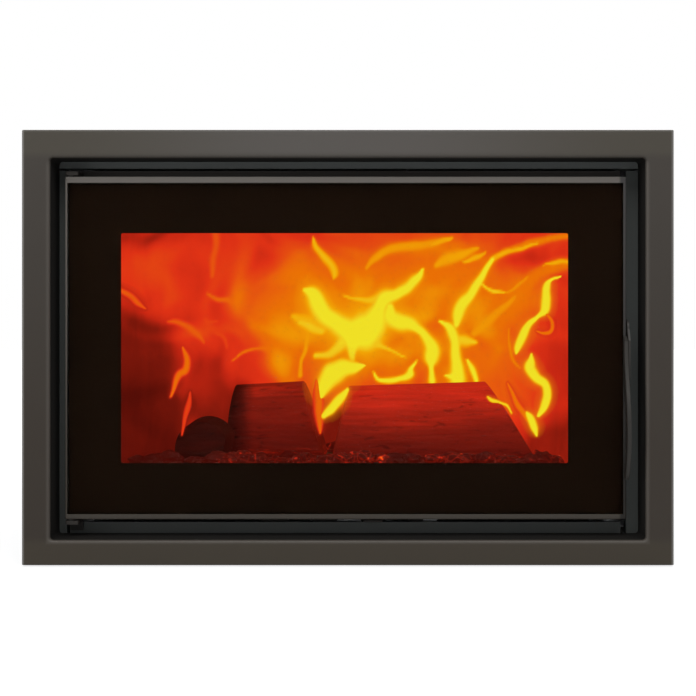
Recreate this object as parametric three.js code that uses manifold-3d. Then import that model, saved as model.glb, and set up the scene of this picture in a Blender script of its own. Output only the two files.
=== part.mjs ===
// A wood-burning fireplace insert: trim frame, convection casing, brick-lined firebox, and a
// glazed side-hung door that a lever at its free edge holds shut.
// Millimetres. x runs to the right, y runs back from the front plane of the trim, z runs up from the floor.
import * as THREE from "three";
import { mergeVertices } from "three/addons/utils/BufferGeometryUtils.js";
import Module from "manifold-3d";

const manifold = await Module();
manifold.setup();

// ---- Clearances ----
const seat = 0.3; // between two pieces that lie against each other
const pinClearance = 0.3; // round a pin, on the radius
const holeClearance = 2; // round a tube or a stud, on the radius

// ---- Trim frame ----
const trimWidth = 780;
const trimHeight = 521;
const trimAboveFloor = 1.5;
const trimSideRail = 33.5;
const trimTopRail = 33.5;
const trimBottomRail = 30;
const trimSheet = 2;
const trimEdgeDepth = 12;
const trimEdgeRadius = 2.5;
const trimLipRadius = 3.5;
const trimCornerRadius = 1.5;
const trimOpeningRadius = 4;
const recessDepth = 47.5;

// ---- Convection casing ----
const casingDepth = 398;
const casingFront = 14; // the casing's front edges, behind the trim
const casingSheet = 2;
const trimSideLap = 22; // how far the trim reaches past the casing
const trimTopLap = 20.5;
const footHeight = 19;
const casingFlange = 14;
const casingCorner = 3;
const frontSheet = 2; // the folded members round the firebox front
const frontFold = 14;
const plinthFold = 8;
const slotColumns = 7; // cooling slots low in each casing side
const slotRise = 30;
const slotFromBack = 70;
const slotWidth = 10;
const slotLength = 60;
const slotPitch = 24;

// ---- Front members behind the recess, as seen through the trim's opening ----
const frontGap = 0.5; // from the end of the recess to the front members
const fasciaFace = 8.2;
const outletSlot = 3;
const plinthFace = 13.5;
const controlSlot = 5;
const leftJambFace = 9.2;
const rightJambFace = 14.5;
const hingeSlot = 4;
const latchSlot = 7;

// ---- Firebox ----
const frontPlate = 4;
const wall = 4;
const convectionGap = 43; // between casing and firebox at each side
const rearGap = 22; // between casing back and firebox back
const roofGap = 26;
const underfloor = 46.7;
const mouthMargin = 13.5; // from the glass window to the mouth, all round
const mouthRadius = 8;
const sideBrick = 24.7;
const backBrick = 24.7;
const floorBrick = 29.7;
const brickTop = 55; // below the roof
const airHoleRadius = 3.5;
const airHoleSpacing = 34;
const airHoleRows = [150, 200]; // above the firebox floor

// ---- Flue and air ----
const flueRadius = 75;
const flueWall = 3;
const flueHeight = 38; // above the casing top
const flueFlange = 16;
const flueFlangeThickness = 4;
const flueFromBack = 170;
const inletRadius = 50;
const inletWall = 2;
const inletLength = 40;
const inletFlange = 12;
const inletBead = 1.2;
const inletHeight = 71; // of its axis above the casing base
const ductSheet = 1.5;
const ductWidth = 220;
const rearDuctHeight = 306;
const portWidth = 30;
const portHeight = 24;
const portPitch = 60;
const troughSetback = 9; // behind the firebox front
const shutterThickness = 2.5;
const tabWidth = 24;
const tabReach = 10; // in front of the front members
const riserWidth = 23;
const riserDepth = 23;
const airwashHeight = 46;
const airwashDepth = 38;
const airwashSlot = 4;

// ---- Grate, ash pan and baffles ----
const grateWidth = 218;
const grateLength = 148;
const grateThickness = 15;
const grateSkirt = 6;
const grateMargin = 15; // from the grate's edge to its slots
const panMargin = 14; // from the grate's edge to the ash pan's hole
const grateSlots = 12;
const grateSlotWidth = 7;
const panRim = 5;
const panDepth = 32;
const panSheet = 1.5;
const baffleThickness = 25;
const baffleFrontGap = 60;
const deflectorSheet = 3;
const deflectorLeg = 17;
const deflectorRearGap = 70;
const deflectorFrontGap = 20;
const deflectorSideGap = 24;

// ---- Door ----
const doorGap = 2; // between the back of the door and the front plate
const doorThickness = 26;
const doorSheet = 1.5;
const doorEdgeRadius = 1.4;
// Front plate left showing beside the door, which laps over it at the latch.
const doorReveal = { left: 0.4, right: -2, top: 9.5, bottom: 3.1 };
const doorLip = { left: 2.4, right: 3.8, top: 7.7, bottom: 6.2 };
const windowBorder = { left: 66.6, right: 69.8, top: 68.2, bottom: 67.4 }; // door edge to the clear window
const glassThickness = 5;
const glassInset = 1.8;
const gasketThickness = 2.5;
const innerFrameSheet = 2.5;
const innerFrameMargin = 8; // from the clear window to the steel behind the glass
const ropeRadius = 4.7;
const ropeOffset = 22; // from the clear window to the middle of the rope
const ropeChannelWall = 2;

// ---- Hinge ----
const hingePinRadius = 4;
const hingeInset = 5.4; // from the door's left edge to the pins' axis
const hingeDepth = 7; // behind the door's front
const hingeLeaf = 4.6;
const hingeLeafGap = 1.7;
const hingeFlange = 3;

// ---- Lever and latch ----
const pivotDepth = 10; // behind the door's front
const pivotHeight = 231; // above the door's bottom
const pivotRadius = 3;
const pivotHeadRadius = 5.5;
const pivotHead = 1.1;
const latchPlateThickness = 2.5;
const latchPlateGap = 1; // beside the door
const eyeRadius = 11;
const armDepth = 12;
const hookThickness = 3.8;
const hookRise = 6;
const hookGap = 0.4;
const catchPinRadius = 4;
const catchPinDepth = 10; // behind the front of the right jamb
const catchPinRise = 9; // above the pivot
const gripThickness = 5;
const gripTop = 9; // below the pivot
const gripLength = 173;
const gripBelly = 115; // below the grip's top
const gripReach = 30; // in front of the door at the belly
const gripDepth = 12;

// ---- Feet ----
const footRadius = 16;
const studRadius = 4;
const studLength = 34;
const nutRadius = 7.5;
const nutThickness = 6.3;
const footFromSide = 23;
const footFromFront = 66;
const footFromBack = 48;
const padThickness = 3;
const padNeck = 6;

// ---- Logs ----
const logs = {
  main: { length: 272, radius: 62, fromRight: 50, fromBack: 160, turn: 2, slants: [0.23, 0.62] },
  rear: { length: 134, radius: 60, fromRight: 333, fromBack: 95, turn: -1.5, slants: [0.1, 0.3] },
  left: { length: 58, radius: 36, fromRight: 458, fromBack: 194, turn: 84, slants: [0.12, 0.12] },
};

// ---- Places worked out from the sizes above ----
const grown = ({ left, right, bottom, top, radius }, by) => ({
  left: left - by,
  right: right + by,
  bottom: bottom - by,
  top: top + by,
  radius: Math.max(radius + by, 0.3),
});
const inside = ({ left, right, bottom, top }, edge, radius) => ({
  left: left + edge.left,
  right: right - edge.right,
  bottom: bottom + edge.bottom,
  top: top - edge.top,
  radius,
});
const trimOuter = {
  left: -trimWidth / 2,
  right: trimWidth / 2,
  bottom: trimAboveFloor,
  top: trimAboveFloor + trimHeight,
  radius: trimCornerRadius,
};
const trimRails = { left: trimSideRail, right: trimSideRail, top: trimTopRail, bottom: trimBottomRail };
const opening = inside(trimOuter, trimRails, trimOpeningRadius);

const casing = {
  left: trimOuter.left + trimSideLap,
  right: trimOuter.right - trimSideLap,
  bottom: footHeight,
  top: trimOuter.top - trimTopLap,
};
const floorLevel = casing.bottom + casingSheet; // inside the casing
const ceilingLevel = casing.top - casingSheet;
const frontPlane = recessDepth + frontGap; // of the members behind the recess
const fasciaBottom = opening.top - fasciaFace;
const plinthTop = opening.bottom + plinthFace;
const jambInner = { left: opening.left + leftJambFace, right: opening.right - rightJambFace };
const plate = {
  left: jambInner.left + hingeSlot,
  right: jambInner.right - latchSlot,
  bottom: plinthTop + controlSlot,
  top: fasciaBottom - outletSlot,
  radius: 1,
};

const door = inside(plate, doorReveal, 1.5);
const doorBack = frontPlane - doorGap;
const doorFront = doorBack - doorThickness;
const glassWindow = inside(door, windowBorder, 2);
const mouth = { ...grown(glassWindow, mouthMargin), radius: mouthRadius };

const fireboxFront = frontPlane + frontPlate + seat;
const fireboxBack = casingDepth - rearGap; // outer face of the back wall
const fireboxHalf = casing.right - convectionGap;
const fireboxFloor = floorLevel + underfloor; // underside of the floor plate
const fireboxRoof = ceilingLevel - roofGap; // top of the roof plate
const bedLevel = fireboxFloor + wall; // top of the floor plate
const lining = {
  half: fireboxHalf - wall - seat - sideBrick, // inner face of the side bricks
  back: fireboxBack - wall - seat - backBrick,
  top: fireboxRoof - brickTop,
};
const hearthLevel = bedLevel + seat + floorBrick; // top of the floor bricks
const flueCentre = casingDepth - flueFromBack;
const inletCentre = floorLevel + inletHeight;
const grateCentre = (fireboxFront + lining.back) / 2 + 10;
const riserFront = fireboxFront;
const riserBack = riserFront + riserDepth;

const hingeAxis = { x: door.left + hingeInset, y: doorFront + hingeDepth };
const pivot = { y: doorFront + pivotDepth, z: door.bottom + pivotHeight };
const latchPlate = {
  left: door.right + latchPlateGap,
  right: door.right + latchPlateGap + latchPlateThickness,
};
const catchPin = { y: frontPlane + catchPinDepth, z: pivot.z + catchPinRise };

// ---- Materials ----
const finish = (color, roughness, metalness, more = {}) =>
  new THREE.MeshStandardMaterial({ color, roughness, metalness, ...more });
const trimPaint = finish(0x57524c, 0.55, 0.3);
const doorPaint = finish(0x625d57, 0.45, 0.4);
const bodyPaint = finish(0x3c3e40, 0.5, 0.3);
const stovePaint = finish(0x1d1b1a, 0.8, 0.2);
const zincSheet = finish(0x9a9c9e, 0.45, 0.8);
const castIron = finish(0x2a2826, 0.75, 0.5);
const turnedSteel = finish(0x8f8d8a, 0.35, 0.9);
const leverSteel = finish(0x5d5955, 0.35, 0.7);
const fireBrick = finish(0xb7a587, 0.95, 0);
const ropeFibre = finish(0x3a3936, 0.95, 0);
const glassPane = finish(0x14100d, 0.05, 0, { transparent: true, opacity: 0.35 });
const charredWood = finish(0x3b1a10, 0.9, 0);

// ---- Making solids ----
const X = new THREE.Vector3(1, 0, 0);
const Y = new THREE.Vector3(0, 1, 0);
const Z = new THREE.Vector3(0, 0, 1);

// Merges a geometry's shared points, drops slivers, and turns its faces outward.
function closed(geometry) {
  const bare = new THREE.BufferGeometry();
  bare.setAttribute("position", geometry.getAttribute("position"));
  bare.setIndex(geometry.getIndex());
  const merged = mergeVertices(bare, 1e-4);
  const point = (i) => new THREE.Vector3().fromBufferAttribute(merged.getAttribute("position"), i);
  const faces = [];
  let volume = 0;
  const index = merged.getIndex().array;
  for (let i = 0; i < index.length; i += 3) {
    const [a, b, c] = index.slice(i, i + 3);
    if (a === b || b === c || c === a) continue;
    volume += point(a).dot(point(b).cross(point(c)));
    faces.push([a, b, c]);
  }
  merged.setIndex(faces.flatMap(([a, b, c]) => (volume > 0 ? [a, b, c] : [a, c, b])));
  return merged;
}

function toSolid(geometry) {
  const merged = closed(geometry);
  const vertProperties = new Float32Array(merged.getAttribute("position").array);
  const triVerts = new Uint32Array(merged.getIndex().array);
  return new manifold.Manifold(new manifold.Mesh({ numProp: 3, vertProperties, triVerts }));
}

function toGeometry(solid) {
  const { numProp, vertProperties, triVerts } = solid.getMesh();
  const position = new Float32Array((vertProperties.length / numProp) * 3);
  for (let i = 0; i < position.length; i += 3) {
    position.set(vertProperties.subarray((i / 3) * numProp, (i / 3) * numProp + 3), i);
  }
  const geometry = new THREE.BufferGeometry();
  geometry.setAttribute("position", new THREE.BufferAttribute(position, 3));
  geometry.setIndex(new THREE.BufferAttribute(new Uint32Array(triVerts), 1));
  return geometry;
}

const join = (...pieces) => toGeometry(pieces.map(toSolid).reduce((all, piece) => all.add(piece)));
const cut = (piece, ...tools) =>
  toGeometry(tools.map(toSolid).reduce((rest, tool) => rest.subtract(tool), toSolid(piece)));

function block(left, right, front, back, bottom, top) {
  const geometry = new THREE.BoxGeometry(right - left, back - front, top - bottom);
  return geometry.translate((left + right) / 2, (front + back) / 2, (bottom + top) / 2);
}

function roundedRect({ left, right, bottom, top, radius = 0 }, Kind = THREE.Shape) {
  const path = new Kind();
  if (radius === 0) {
    const corners = [[left, bottom], [right, bottom], [right, top], [left, top]];
    return path.setFromPoints(corners.map(([u, v]) => new THREE.Vector2(u, v)));
  }
  path.absarc(right - radius, bottom + radius, radius, -Math.PI / 2, 0);
  path.absarc(right - radius, top - radius, radius, 0, Math.PI / 2);
  path.absarc(left + radius, top - radius, radius, Math.PI / 2, Math.PI);
  path.absarc(left + radius, bottom + radius, radius, Math.PI, 1.5 * Math.PI);
  path.closePath();
  return path;
}

function circle(u, v, radius, Kind = THREE.Path) {
  const path = new Kind();
  path.absarc(u, v, radius, 0, 2 * Math.PI);
  return path;
}

// An outline given a thickness along one axis. Its two coordinates are (y, z) across x, (x, z)
// across y, and (x, y) across z.
function slab(outline, axis, start, thickness, options = {}) {
  const settings = { depth: thickness, bevelEnabled: false, curveSegments: 6, ...options };
  const geometry = new THREE.ExtrudeGeometry(outline, settings);
  const turn = new THREE.Matrix4();
  if (axis === "x") return geometry.applyMatrix4(turn.makeBasis(Y, Z, X)).translate(start, 0, 0);
  if (axis === "z") return geometry.translate(0, 0, start);
  return geometry.applyMatrix4(turn.makeBasis(X, Z, Y.clone().negate())).translate(0, start + thickness, 0);
}

// The section of a folded sheet: a line through its outer face, given a thickness to the left of its way.
function sheetSection(line, thickness) {
  const points = line.map(([u, v]) => new THREE.Vector2(u, v));
  const normals = points.slice(1).map((point, i) => {
    const way = point.clone().sub(points[i]).normalize();
    return new THREE.Vector2(-way.y, way.x);
  });
  const inner = points.map((point, i) => {
    const before = normals[Math.max(i - 1, 0)];
    const after = normals[Math.min(i, normals.length - 1)];
    const mitre = before.clone().add(after);
    return point.clone().addScaledVector(mitre, (2 * thickness) / mitre.lengthSq());
  });
  return new THREE.Shape([...points, ...inner.reverse()]);
}

// A frame whose section is given as rounded rectangles at their depths, in order, closing on the first.
function loftedFrame(stations, cornerSteps = 5) {
  const corner = (u, v, radius, from) =>
    Array.from({ length: cornerSteps + 1 }, (_, i) => {
      const angle = from + ((Math.PI / 2) * i) / cornerSteps;
      return [u + radius * Math.cos(angle), v + radius * Math.sin(angle)];
    });
  const loops = stations.map(({ rect: { left, right, bottom, top, radius }, y }) =>
    [
      ...corner(right - radius, bottom + radius, radius, -Math.PI / 2),
      ...corner(right - radius, top - radius, radius, 0),
      ...corner(left + radius, top - radius, radius, Math.PI / 2),
      ...corner(left + radius, bottom + radius, radius, Math.PI),
    ].map(([u, v]) => [u, y, v]),
  );
  const count = loops[0].length;
  const faces = [];
  for (let s = 0; s < loops.length; s += 1) {
    for (let p = 0; p < count; p += 1) {
      const q = (p + 1) % count;
      const here = s * count;
      const next = ((s + 1) % loops.length) * count;
      faces.push(here + p, next + p, next + q, here + p, next + q, here + q);
    }
  }
  const geometry = new THREE.BufferGeometry();
  geometry.setAttribute("position", new THREE.Float32BufferAttribute(loops.flat(2), 3));
  geometry.setIndex(faces);
  return closed(geometry);
}

// Turns a profile of [radius, height] points about an axis through `centre`. An open profile
// starts and ends on it.
function turned(profile, axis, centre, sides) {
  const points = profile.map(([radius, height]) => new THREE.Vector2(radius, height));
  const geometry = new THREE.LatheGeometry(points, sides);
  const turn = new THREE.Matrix4();
  if (axis === "z") turn.makeBasis(X, Z, Y.clone().negate());
  if (axis === "x") turn.makeBasis(Y, X, Z.clone().negate());
  return closed(geometry.applyMatrix4(turn).translate(...centre));
}

const ring = (profile, ...rest) => turned([...profile, profile[0]], ...rest);
const rod = (radius, length, axis, centre, sides = 24) =>
  turned([[0, 0], [radius, 0], [radius, length], [0, length]], axis, centre, sides);

// ---- The assembly ----
const insert = new THREE.Group();
const doorLeaf = new THREE.Group();
const lever = new THREE.Group();
doorLeaf.add(lever);
insert.add(doorLeaf);

function add(group, name, geometry, material) {
  const mesh = new THREE.Mesh(geometry, material);
  mesh.name = name;
  group.add(mesh);
  return mesh;
}

// ---- Trim frame: one folded sheet with a rolled lip, whose inner return makes the recess ----
function quarter(steps, make) {
  return Array.from({ length: steps + 1 }, (_, i) => make(Math.PI / 2 * (i / steps)));
}

function trimFrame() {
  const edge = quarter(3, (a) => ({
    rect: grown(trimOuter, -trimEdgeRadius * (1 - Math.cos(a))),
    y: trimEdgeRadius * (1 - Math.sin(a)),
  }));
  const lip = quarter(4, (a) => ({
    rect: grown(opening, trimLipRadius * (1 - Math.sin(a))),
    y: trimLipRadius * (1 - Math.cos(a)),
  }));
  return loftedFrame([
    { rect: trimOuter, y: trimEdgeDepth },
    ...edge,
    ...lip,
    { rect: opening, y: recessDepth },
    { rect: grown(opening, trimSheet), y: recessDepth },
    { rect: grown(opening, trimSheet), y: trimLipRadius },
    { rect: grown(opening, trimLipRadius), y: trimSheet },
    { rect: grown(trimOuter, -trimEdgeRadius), y: trimSheet },
    { rect: grown(trimOuter, -trimSheet), y: trimEdgeRadius },
    { rect: grown(trimOuter, -trimSheet), y: trimEdgeDepth },
  ]);
}

add(insert, "trim_frame", trimFrame(), trimPaint);

// ---- Trim clips: angles screwed to the casing sides, whose feet hold the trim from behind ----
const clipWidth = 40;
const clipFoot = trimSideLap - trimSheet - 2;
const clipFromMiddle = 150;

function trimClip(side, middle) {
  const x = (casing.right + seat) * side;
  const foot = [[x, frontPlane], [x, trimSheet + seat], [x + clipFoot * side, trimSheet + seat]];
  return slab(sheetSection(foot, casingSheet * side), "z", middle - clipWidth / 2, clipWidth);
}

const middleHeight = (casing.bottom + casing.top) / 2;
for (const [sideName, side] of [["left", -1], ["right", 1]]) {
  for (const [levelName, level] of [["lower", -1], ["upper", 1]]) {
    const middle = middleHeight + clipFromMiddle * level;
    add(insert, `trim_clip_${levelName}_${sideName}`, trimClip(side, middle), zincSheet);
  }
}

// ---- Convection casing: base and top plates, folded sides with cooling slots, and a back plate ----
const footPlaces = [["left", -1], ["right", 1]].flatMap(([sideName, side]) => {
  const x = (casing.right - footFromSide) * side;
  return [
    { x, y: casingFront + footFromFront, name: `front_${sideName}` },
    { x, y: casingDepth - footFromBack, name: `rear_${sideName}` },
  ];
});
const casingPlan = {
  left: casing.left,
  right: casing.right,
  bottom: casingFront,
  top: casingDepth,
  radius: casingCorner,
};

const basePlan = roundedRect(casingPlan);
basePlan.holes = footPlaces.map(({ x, y }) => circle(x, y, studRadius + 0.5));
add(insert, "casing_base", slab(basePlan, "z", casing.bottom, casingSheet), zincSheet);

const topPlate = cut(
  slab(roundedRect(casingPlan), "z", ceilingLevel, casingSheet, { curveSegments: 3 }),
  rod(flueRadius + holeClearance, 20, "z", [0, flueCentre, ceilingLevel - 10], 48),
);
add(insert, "casing_top", topPlate, zincSheet);

function casingSide(side) {
  const outer = casing.right * side;
  const flangeEnd = outer - casingFlange * side;
  const flangeLine = [[outer, casingFront], [outer, casingDepth], [flangeEnd, casingDepth]];
  const bottom = floorLevel + seat;
  const height = ceilingLevel - seat - bottom;
  const folded = slab(sheetSection(flangeLine, casingSheet * side), "z", bottom, height);
  const slotTools = Array.from({ length: slotColumns }, (_, i) => {
    const middle = casingDepth - slotFromBack - i * slotPitch;
    const slot = {
      left: middle - slotWidth / 2,
      right: middle + slotWidth / 2,
      bottom: bottom + slotRise,
      top: bottom + slotRise + slotLength,
      radius: slotWidth / 2 - 0.1,
    };
    return slab(roundedRect(slot), "x", outer - 10, 20, { curveSegments: 2 });
  });
  return cut(folded, ...slotTools);
}

add(insert, "casing_left", casingSide(-1), zincSheet);
add(insert, "casing_right", casingSide(1), zincSheet);

const backPlateFront = casingDepth + seat;
const backPlateInset = { left: 3, right: 3, bottom: 5, top: 4 };
const backPlateArea = inside(casing, backPlateInset, casingCorner);
const backPlate = cut(
  slab(roundedRect(backPlateArea), "y", backPlateFront, casingSheet, { curveSegments: 3 }),
  rod(inletRadius + holeClearance, 20, "y", [0, casingDepth - 10, inletCentre], 40),
);
add(insert, "casing_back", backPlate, zincSheet);

// ---- Levelling feet: pad, stud and nut; the nut carries the casing base ----
function levellingFoot() {
  const profile = [
    [0, 0],
    [footRadius, 0],
    [footRadius, padThickness],
    [padNeck, padNeck],
    [studRadius, padNeck + 2],
    [studRadius, studLength],
    [0, studLength],
  ];
  const stem = turned(profile, "z", [0, 0, 0], 20);
  const nut = new THREE.CylinderGeometry(nutRadius, nutRadius, nutThickness, 6).rotateX(Math.PI / 2);
  return join(stem, nut.translate(0, 0, casing.bottom - seat - nutThickness / 2));
}

for (const { x, y, name } of footPlaces) {
  add(insert, `levelling_foot_${name}`, levellingFoot(), turnedSteel).position.set(x, y, 0);
}

// ---- Folded members round the firebox front ----
const memberEnd = casing.right - casingSheet - seat;
const memberWidth = 2 * memberEnd;
const jambFold = frontFold + 2;

const fasciaLine = [
  [frontPlane + frontFold, fasciaBottom],
  [frontPlane, fasciaBottom],
  [frontPlane, ceilingLevel - seat],
  [frontPlane + frontFold, ceilingLevel - seat],
];
const fascia = slab(sheetSection(fasciaLine, -frontSheet), "x", -memberEnd, memberWidth);
add(insert, "top_fascia", fascia, bodyPaint);

function jamb(side, inner) {
  const line = [
    [inner, frontPlane + jambFold],
    [inner, frontPlane],
    [memberEnd * side, frontPlane],
    [memberEnd * side, frontPlane + jambFold],
  ];
  const bottom = floorLevel + seat;
  return slab(sheetSection(line, frontSheet * side), "z", bottom, plate.top - bottom);
}

add(insert, "jamb_left", jamb(-1, jambInner.left), bodyPaint);
add(insert, "jamb_right", jamb(1, jambInner.right), bodyPaint);

const plinthLine = [
  [frontPlane + plinthFold, plinthTop],
  [frontPlane, plinthTop],
  [frontPlane, floorLevel + seat],
  [frontPlane + plinthFold, floorLevel + seat],
];
const plinth = slab(sheetSection(plinthLine, frontSheet), "x", plate.left, plate.right - plate.left);
add(insert, "bottom_plinth", plinth, bodyPaint);

// ---- Firebox: welded plates, open at the front through the mouth ----
const frontOutline = roundedRect(plate);
frontOutline.holes = [roundedRect(mouth, THREE.Path)];
add(insert, "firebox_front", slab(frontOutline, "y", frontPlane, frontPlate), stovePaint);

const grateArea = {
  left: -grateWidth / 2,
  right: grateWidth / 2,
  bottom: grateCentre - grateLength / 2,
  top: grateCentre + grateLength / 2,
  radius: 5,
};
const panHole = { ...grown(grateArea, -panMargin), radius: 4 };
const floorPlan = { left: -fireboxHalf, right: fireboxHalf, bottom: fireboxFront, top: fireboxBack };
const riserOuter = fireboxHalf - wall - seat;
const riserInner = riserOuter - riserWidth;
const airSlotInset = { left: 3, right: 3, bottom: 4, top: 4 };
const airSlot = (side) => {
  const edges = [riserInner * side, riserOuter * side].sort((a, b) => a - b);
  const channel = { left: edges[0], right: edges[1], bottom: riserFront, top: riserBack };
  return inside(channel, airSlotInset, 3);
};
const floorOutline = roundedRect(floorPlan);
floorOutline.holes = [panHole, airSlot(-1), airSlot(1)].map((hole) => roundedRect(hole, THREE.Path));
add(insert, "firebox_floor", slab(floorOutline, "z", fireboxFloor, wall), stovePaint);

const roofPlate = cut(
  slab(roundedRect(floorPlan), "z", fireboxRoof - wall, wall),
  rod(flueRadius - flueWall, 20, "z", [0, flueCentre, fireboxRoof - 12], 48),
);
add(insert, "firebox_roof", roofPlate, stovePaint);

const wallBottom = bedLevel + seat;
const wallTop = fireboxRoof - wall - seat;
const sidePlan = [fireboxFront, fireboxBack, wallBottom, wallTop];
add(insert, "firebox_left_wall", block(-fireboxHalf, -fireboxHalf + wall, ...sidePlan), stovePaint);
add(insert, "firebox_right_wall", block(fireboxHalf - wall, fireboxHalf, ...sidePlan), stovePaint);

const airHoleColumns = [-2.5, -1.5, -0.5, 0.5, 1.5, 2.5].map((step) => step * airHoleSpacing);
const airHoles = (columns) =>
  columns.flatMap((x) => airHoleRows.map((rise) => circle(x, bedLevel + rise, airHoleRadius)));
const backOutline = roundedRect({ left: -riserOuter, right: riserOuter, bottom: wallBottom, top: wallTop });
backOutline.holes = airHoles(airHoleColumns);
const backWall = slab(backOutline, "y", fireboxBack - wall, wall, { curveSegments: 4 });
add(insert, "firebox_back", backWall, stovePaint);

// ---- Support rails: channels that stand the firebox on the casing base ----
const railWidth = 30;
const railSheet = 2.5;
const railInset = 5; // from the firebox side
const railFront = frontPlane + jambFold + 2;
for (const [name, side] of [["left", -1], ["right", 1]]) {
  const outer = (fireboxHalf - railInset) * side;
  const inner = outer - railWidth * side;
  const line = [
    [inner, floorLevel + seat],
    [outer, floorLevel + seat],
    [outer, fireboxFloor - seat],
    [inner, fireboxFloor - seat],
  ];
  const rail = slab(sheetSection(line, railSheet * side), "y", railFront, fireboxBack - railFront);
  add(insert, `support_rail_${name}`, rail, zincSheet);
}

// ---- Flue collar on the roof plate, and the air inlet spigot on the casing back ----
const flueTop = casing.top + flueHeight;
const flangeBottom = fireboxRoof + seat;
const flangeTop = flangeBottom + flueFlangeThickness;
const collar = [
  [flueRadius - flueWall, flangeBottom],
  [flueRadius + flueFlange, flangeBottom],
  [flueRadius + flueFlange, flangeTop],
  [flueRadius + 4, flangeTop + 1],
  [flueRadius, flangeTop + 5],
  [flueRadius, flueTop - 8],
  [flueRadius - 1, flueTop],
  [flueRadius - flueWall, flueTop],
];
add(insert, "flue_collar", ring(collar, "z", [0, flueCentre, 0], 48), castIron);

const ductBack = casingDepth - seat;
const spigotFront = ductBack - ductSheet - 2;
const spigotFlangeFront = backPlateFront + casingSheet + seat;
const spigotBack = casingDepth + inletLength;
const spigot = [
  [inletRadius - inletWall, spigotFront],
  [inletRadius, spigotFront],
  [inletRadius, spigotFlangeFront],
  [inletRadius + inletFlange, spigotFlangeFront],
  [inletRadius + inletFlange, spigotFlangeFront + ductSheet],
  [inletRadius, spigotFlangeFront + ductSheet],
  [inletRadius, spigotBack - 12],
  [inletRadius + inletBead, spigotBack - 10],
  [inletRadius, spigotBack - 8],
  [inletRadius, spigotBack],
  [inletRadius - inletWall, spigotBack],
];
add(insert, "air_inlet_spigot", ring(spigot, "y", [0, 0, inletCentre], 32), zincSheet);

// ---- Air ducts: a pan behind the firebox, a trough under it, and the air wash above the mouth ----
const ductHalf = ductWidth / 2;
const rearDuctBottom = floorLevel + 3;
const rearDuct = cut(
  block(-ductHalf, ductHalf, fireboxBack + seat, ductBack, rearDuctBottom, rearDuctBottom + rearDuctHeight),
  block(-ductHalf + ductSheet, ductHalf - ductSheet, fireboxBack - 5, ductBack - ductSheet,
    rearDuctBottom + ductSheet, rearDuctBottom + rearDuctHeight - ductSheet),
  rod(inletRadius + holeClearance, 20, "y", [0, ductBack - 10, inletCentre], 32),
);
add(insert, "rear_air_duct", rearDuct, zincSheet);

const troughFront = fireboxFront + troughSetback;
const troughBottom = floorLevel + seat;
const troughTop = fireboxFloor - seat;
const portBottom = (troughBottom + troughTop - portHeight) / 2;
const portMiddles = [-portPitch, 0, portPitch];
const ports = portMiddles.map((x) => {
  const across = [x - portWidth / 2, x + portWidth / 2];
  return block(...across, troughFront - 10, troughFront + 10, portBottom, portBottom + portHeight);
});
const airTrough = cut(
  block(-ductHalf, ductHalf, troughFront, fireboxBack, troughBottom, troughTop),
  block(-ductHalf + ductSheet, ductHalf - ductSheet, troughFront + ductSheet, fireboxBack + 5,
    troughBottom + ductSheet, troughTop + 5),
  ...ports,
);
add(insert, "air_box", airTrough, zincSheet);

const airwashTop = wallTop - seat;
const airwashBottom = airwashTop - airwashHeight;
const airwashNose = airwashBottom - 6; // its lowest edge, over the slot along the glass
const airwashLine = [
  [riserFront + airwashSlot, airwashNose],
  [riserFront + airwashDepth, airwashBottom],
  [riserFront + airwashDepth, airwashTop],
  [riserFront, airwashTop],
];
const airwash = slab(sheetSection(airwashLine, ductSheet), "x", -riserOuter, 2 * riserOuter);
add(insert, "airwash_duct", airwash, stovePaint);

for (const [name, side] of [["left", -1], ["right", 1]]) {
  const line = [
    [riserOuter * side, riserBack],
    [riserInner * side, riserBack],
    [riserInner * side, riserFront],
  ];
  const height = airwashNose - 2 - wallBottom;
  const riser = slab(sheetSection(line, ductSheet * side), "z", wallBottom, height);
  add(insert, `airwash_riser_${name}`, riser, stovePaint);
}

// ---- Air slider: a shutter over the trough's ports, moved by a tab in the slot above the plinth ----
const shutterBack = troughFront - seat;
const shutterFront = shutterBack - shutterThickness;
const shutterEdge = { left: 5, right: 17 }; // past the ports, and past what the left side shuts
const shutter = {
  left: -portPitch - portWidth / 2 - portWidth - shutterEdge.left,
  right: portPitch + portWidth / 2 + shutterEdge.right,
  bottom: floorLevel + seat,
  top: fireboxFloor - 3,
  radius: 2,
};
const tabMiddle = portPitch / 2; // on the bridge between two windows
const tabPlan = {
  left: tabMiddle - tabWidth / 2,
  right: tabMiddle + tabWidth / 2,
  bottom: frontPlane - tabReach,
  top: shutterFront + 1,
  radius: 3,
};
const tabThickness = 2.4;
const slider = join(
  cut(slab(roundedRect(shutter), "y", shutterFront, shutterThickness), ...ports),
  slab(roundedRect(tabPlan), "z", plinthTop + (controlSlot - tabThickness) / 2, tabThickness),
);
add(insert, "air_slider", slider, stovePaint);

// ---- Brick lining: sides, split back with air holes, and floor halves notched round the grate ----
const brickBottom = bedLevel + seat;
const brickEdge = 1.5;
const sideBrickBlock = (side) => {
  const plan = {
    left: riserBack + seat,
    right: lining.back - seat,
    bottom: brickBottom,
    top: lining.top,
    radius: brickEdge,
  };
  const start = side > 0 ? lining.half : -lining.half - sideBrick;
  return slab(roundedRect(plan), "x", start, sideBrick, { curveSegments: 1 });
};
add(insert, "side_brick_left", sideBrickBlock(-1), fireBrick);
add(insert, "side_brick_right", sideBrickBlock(1), fireBrick);

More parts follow.
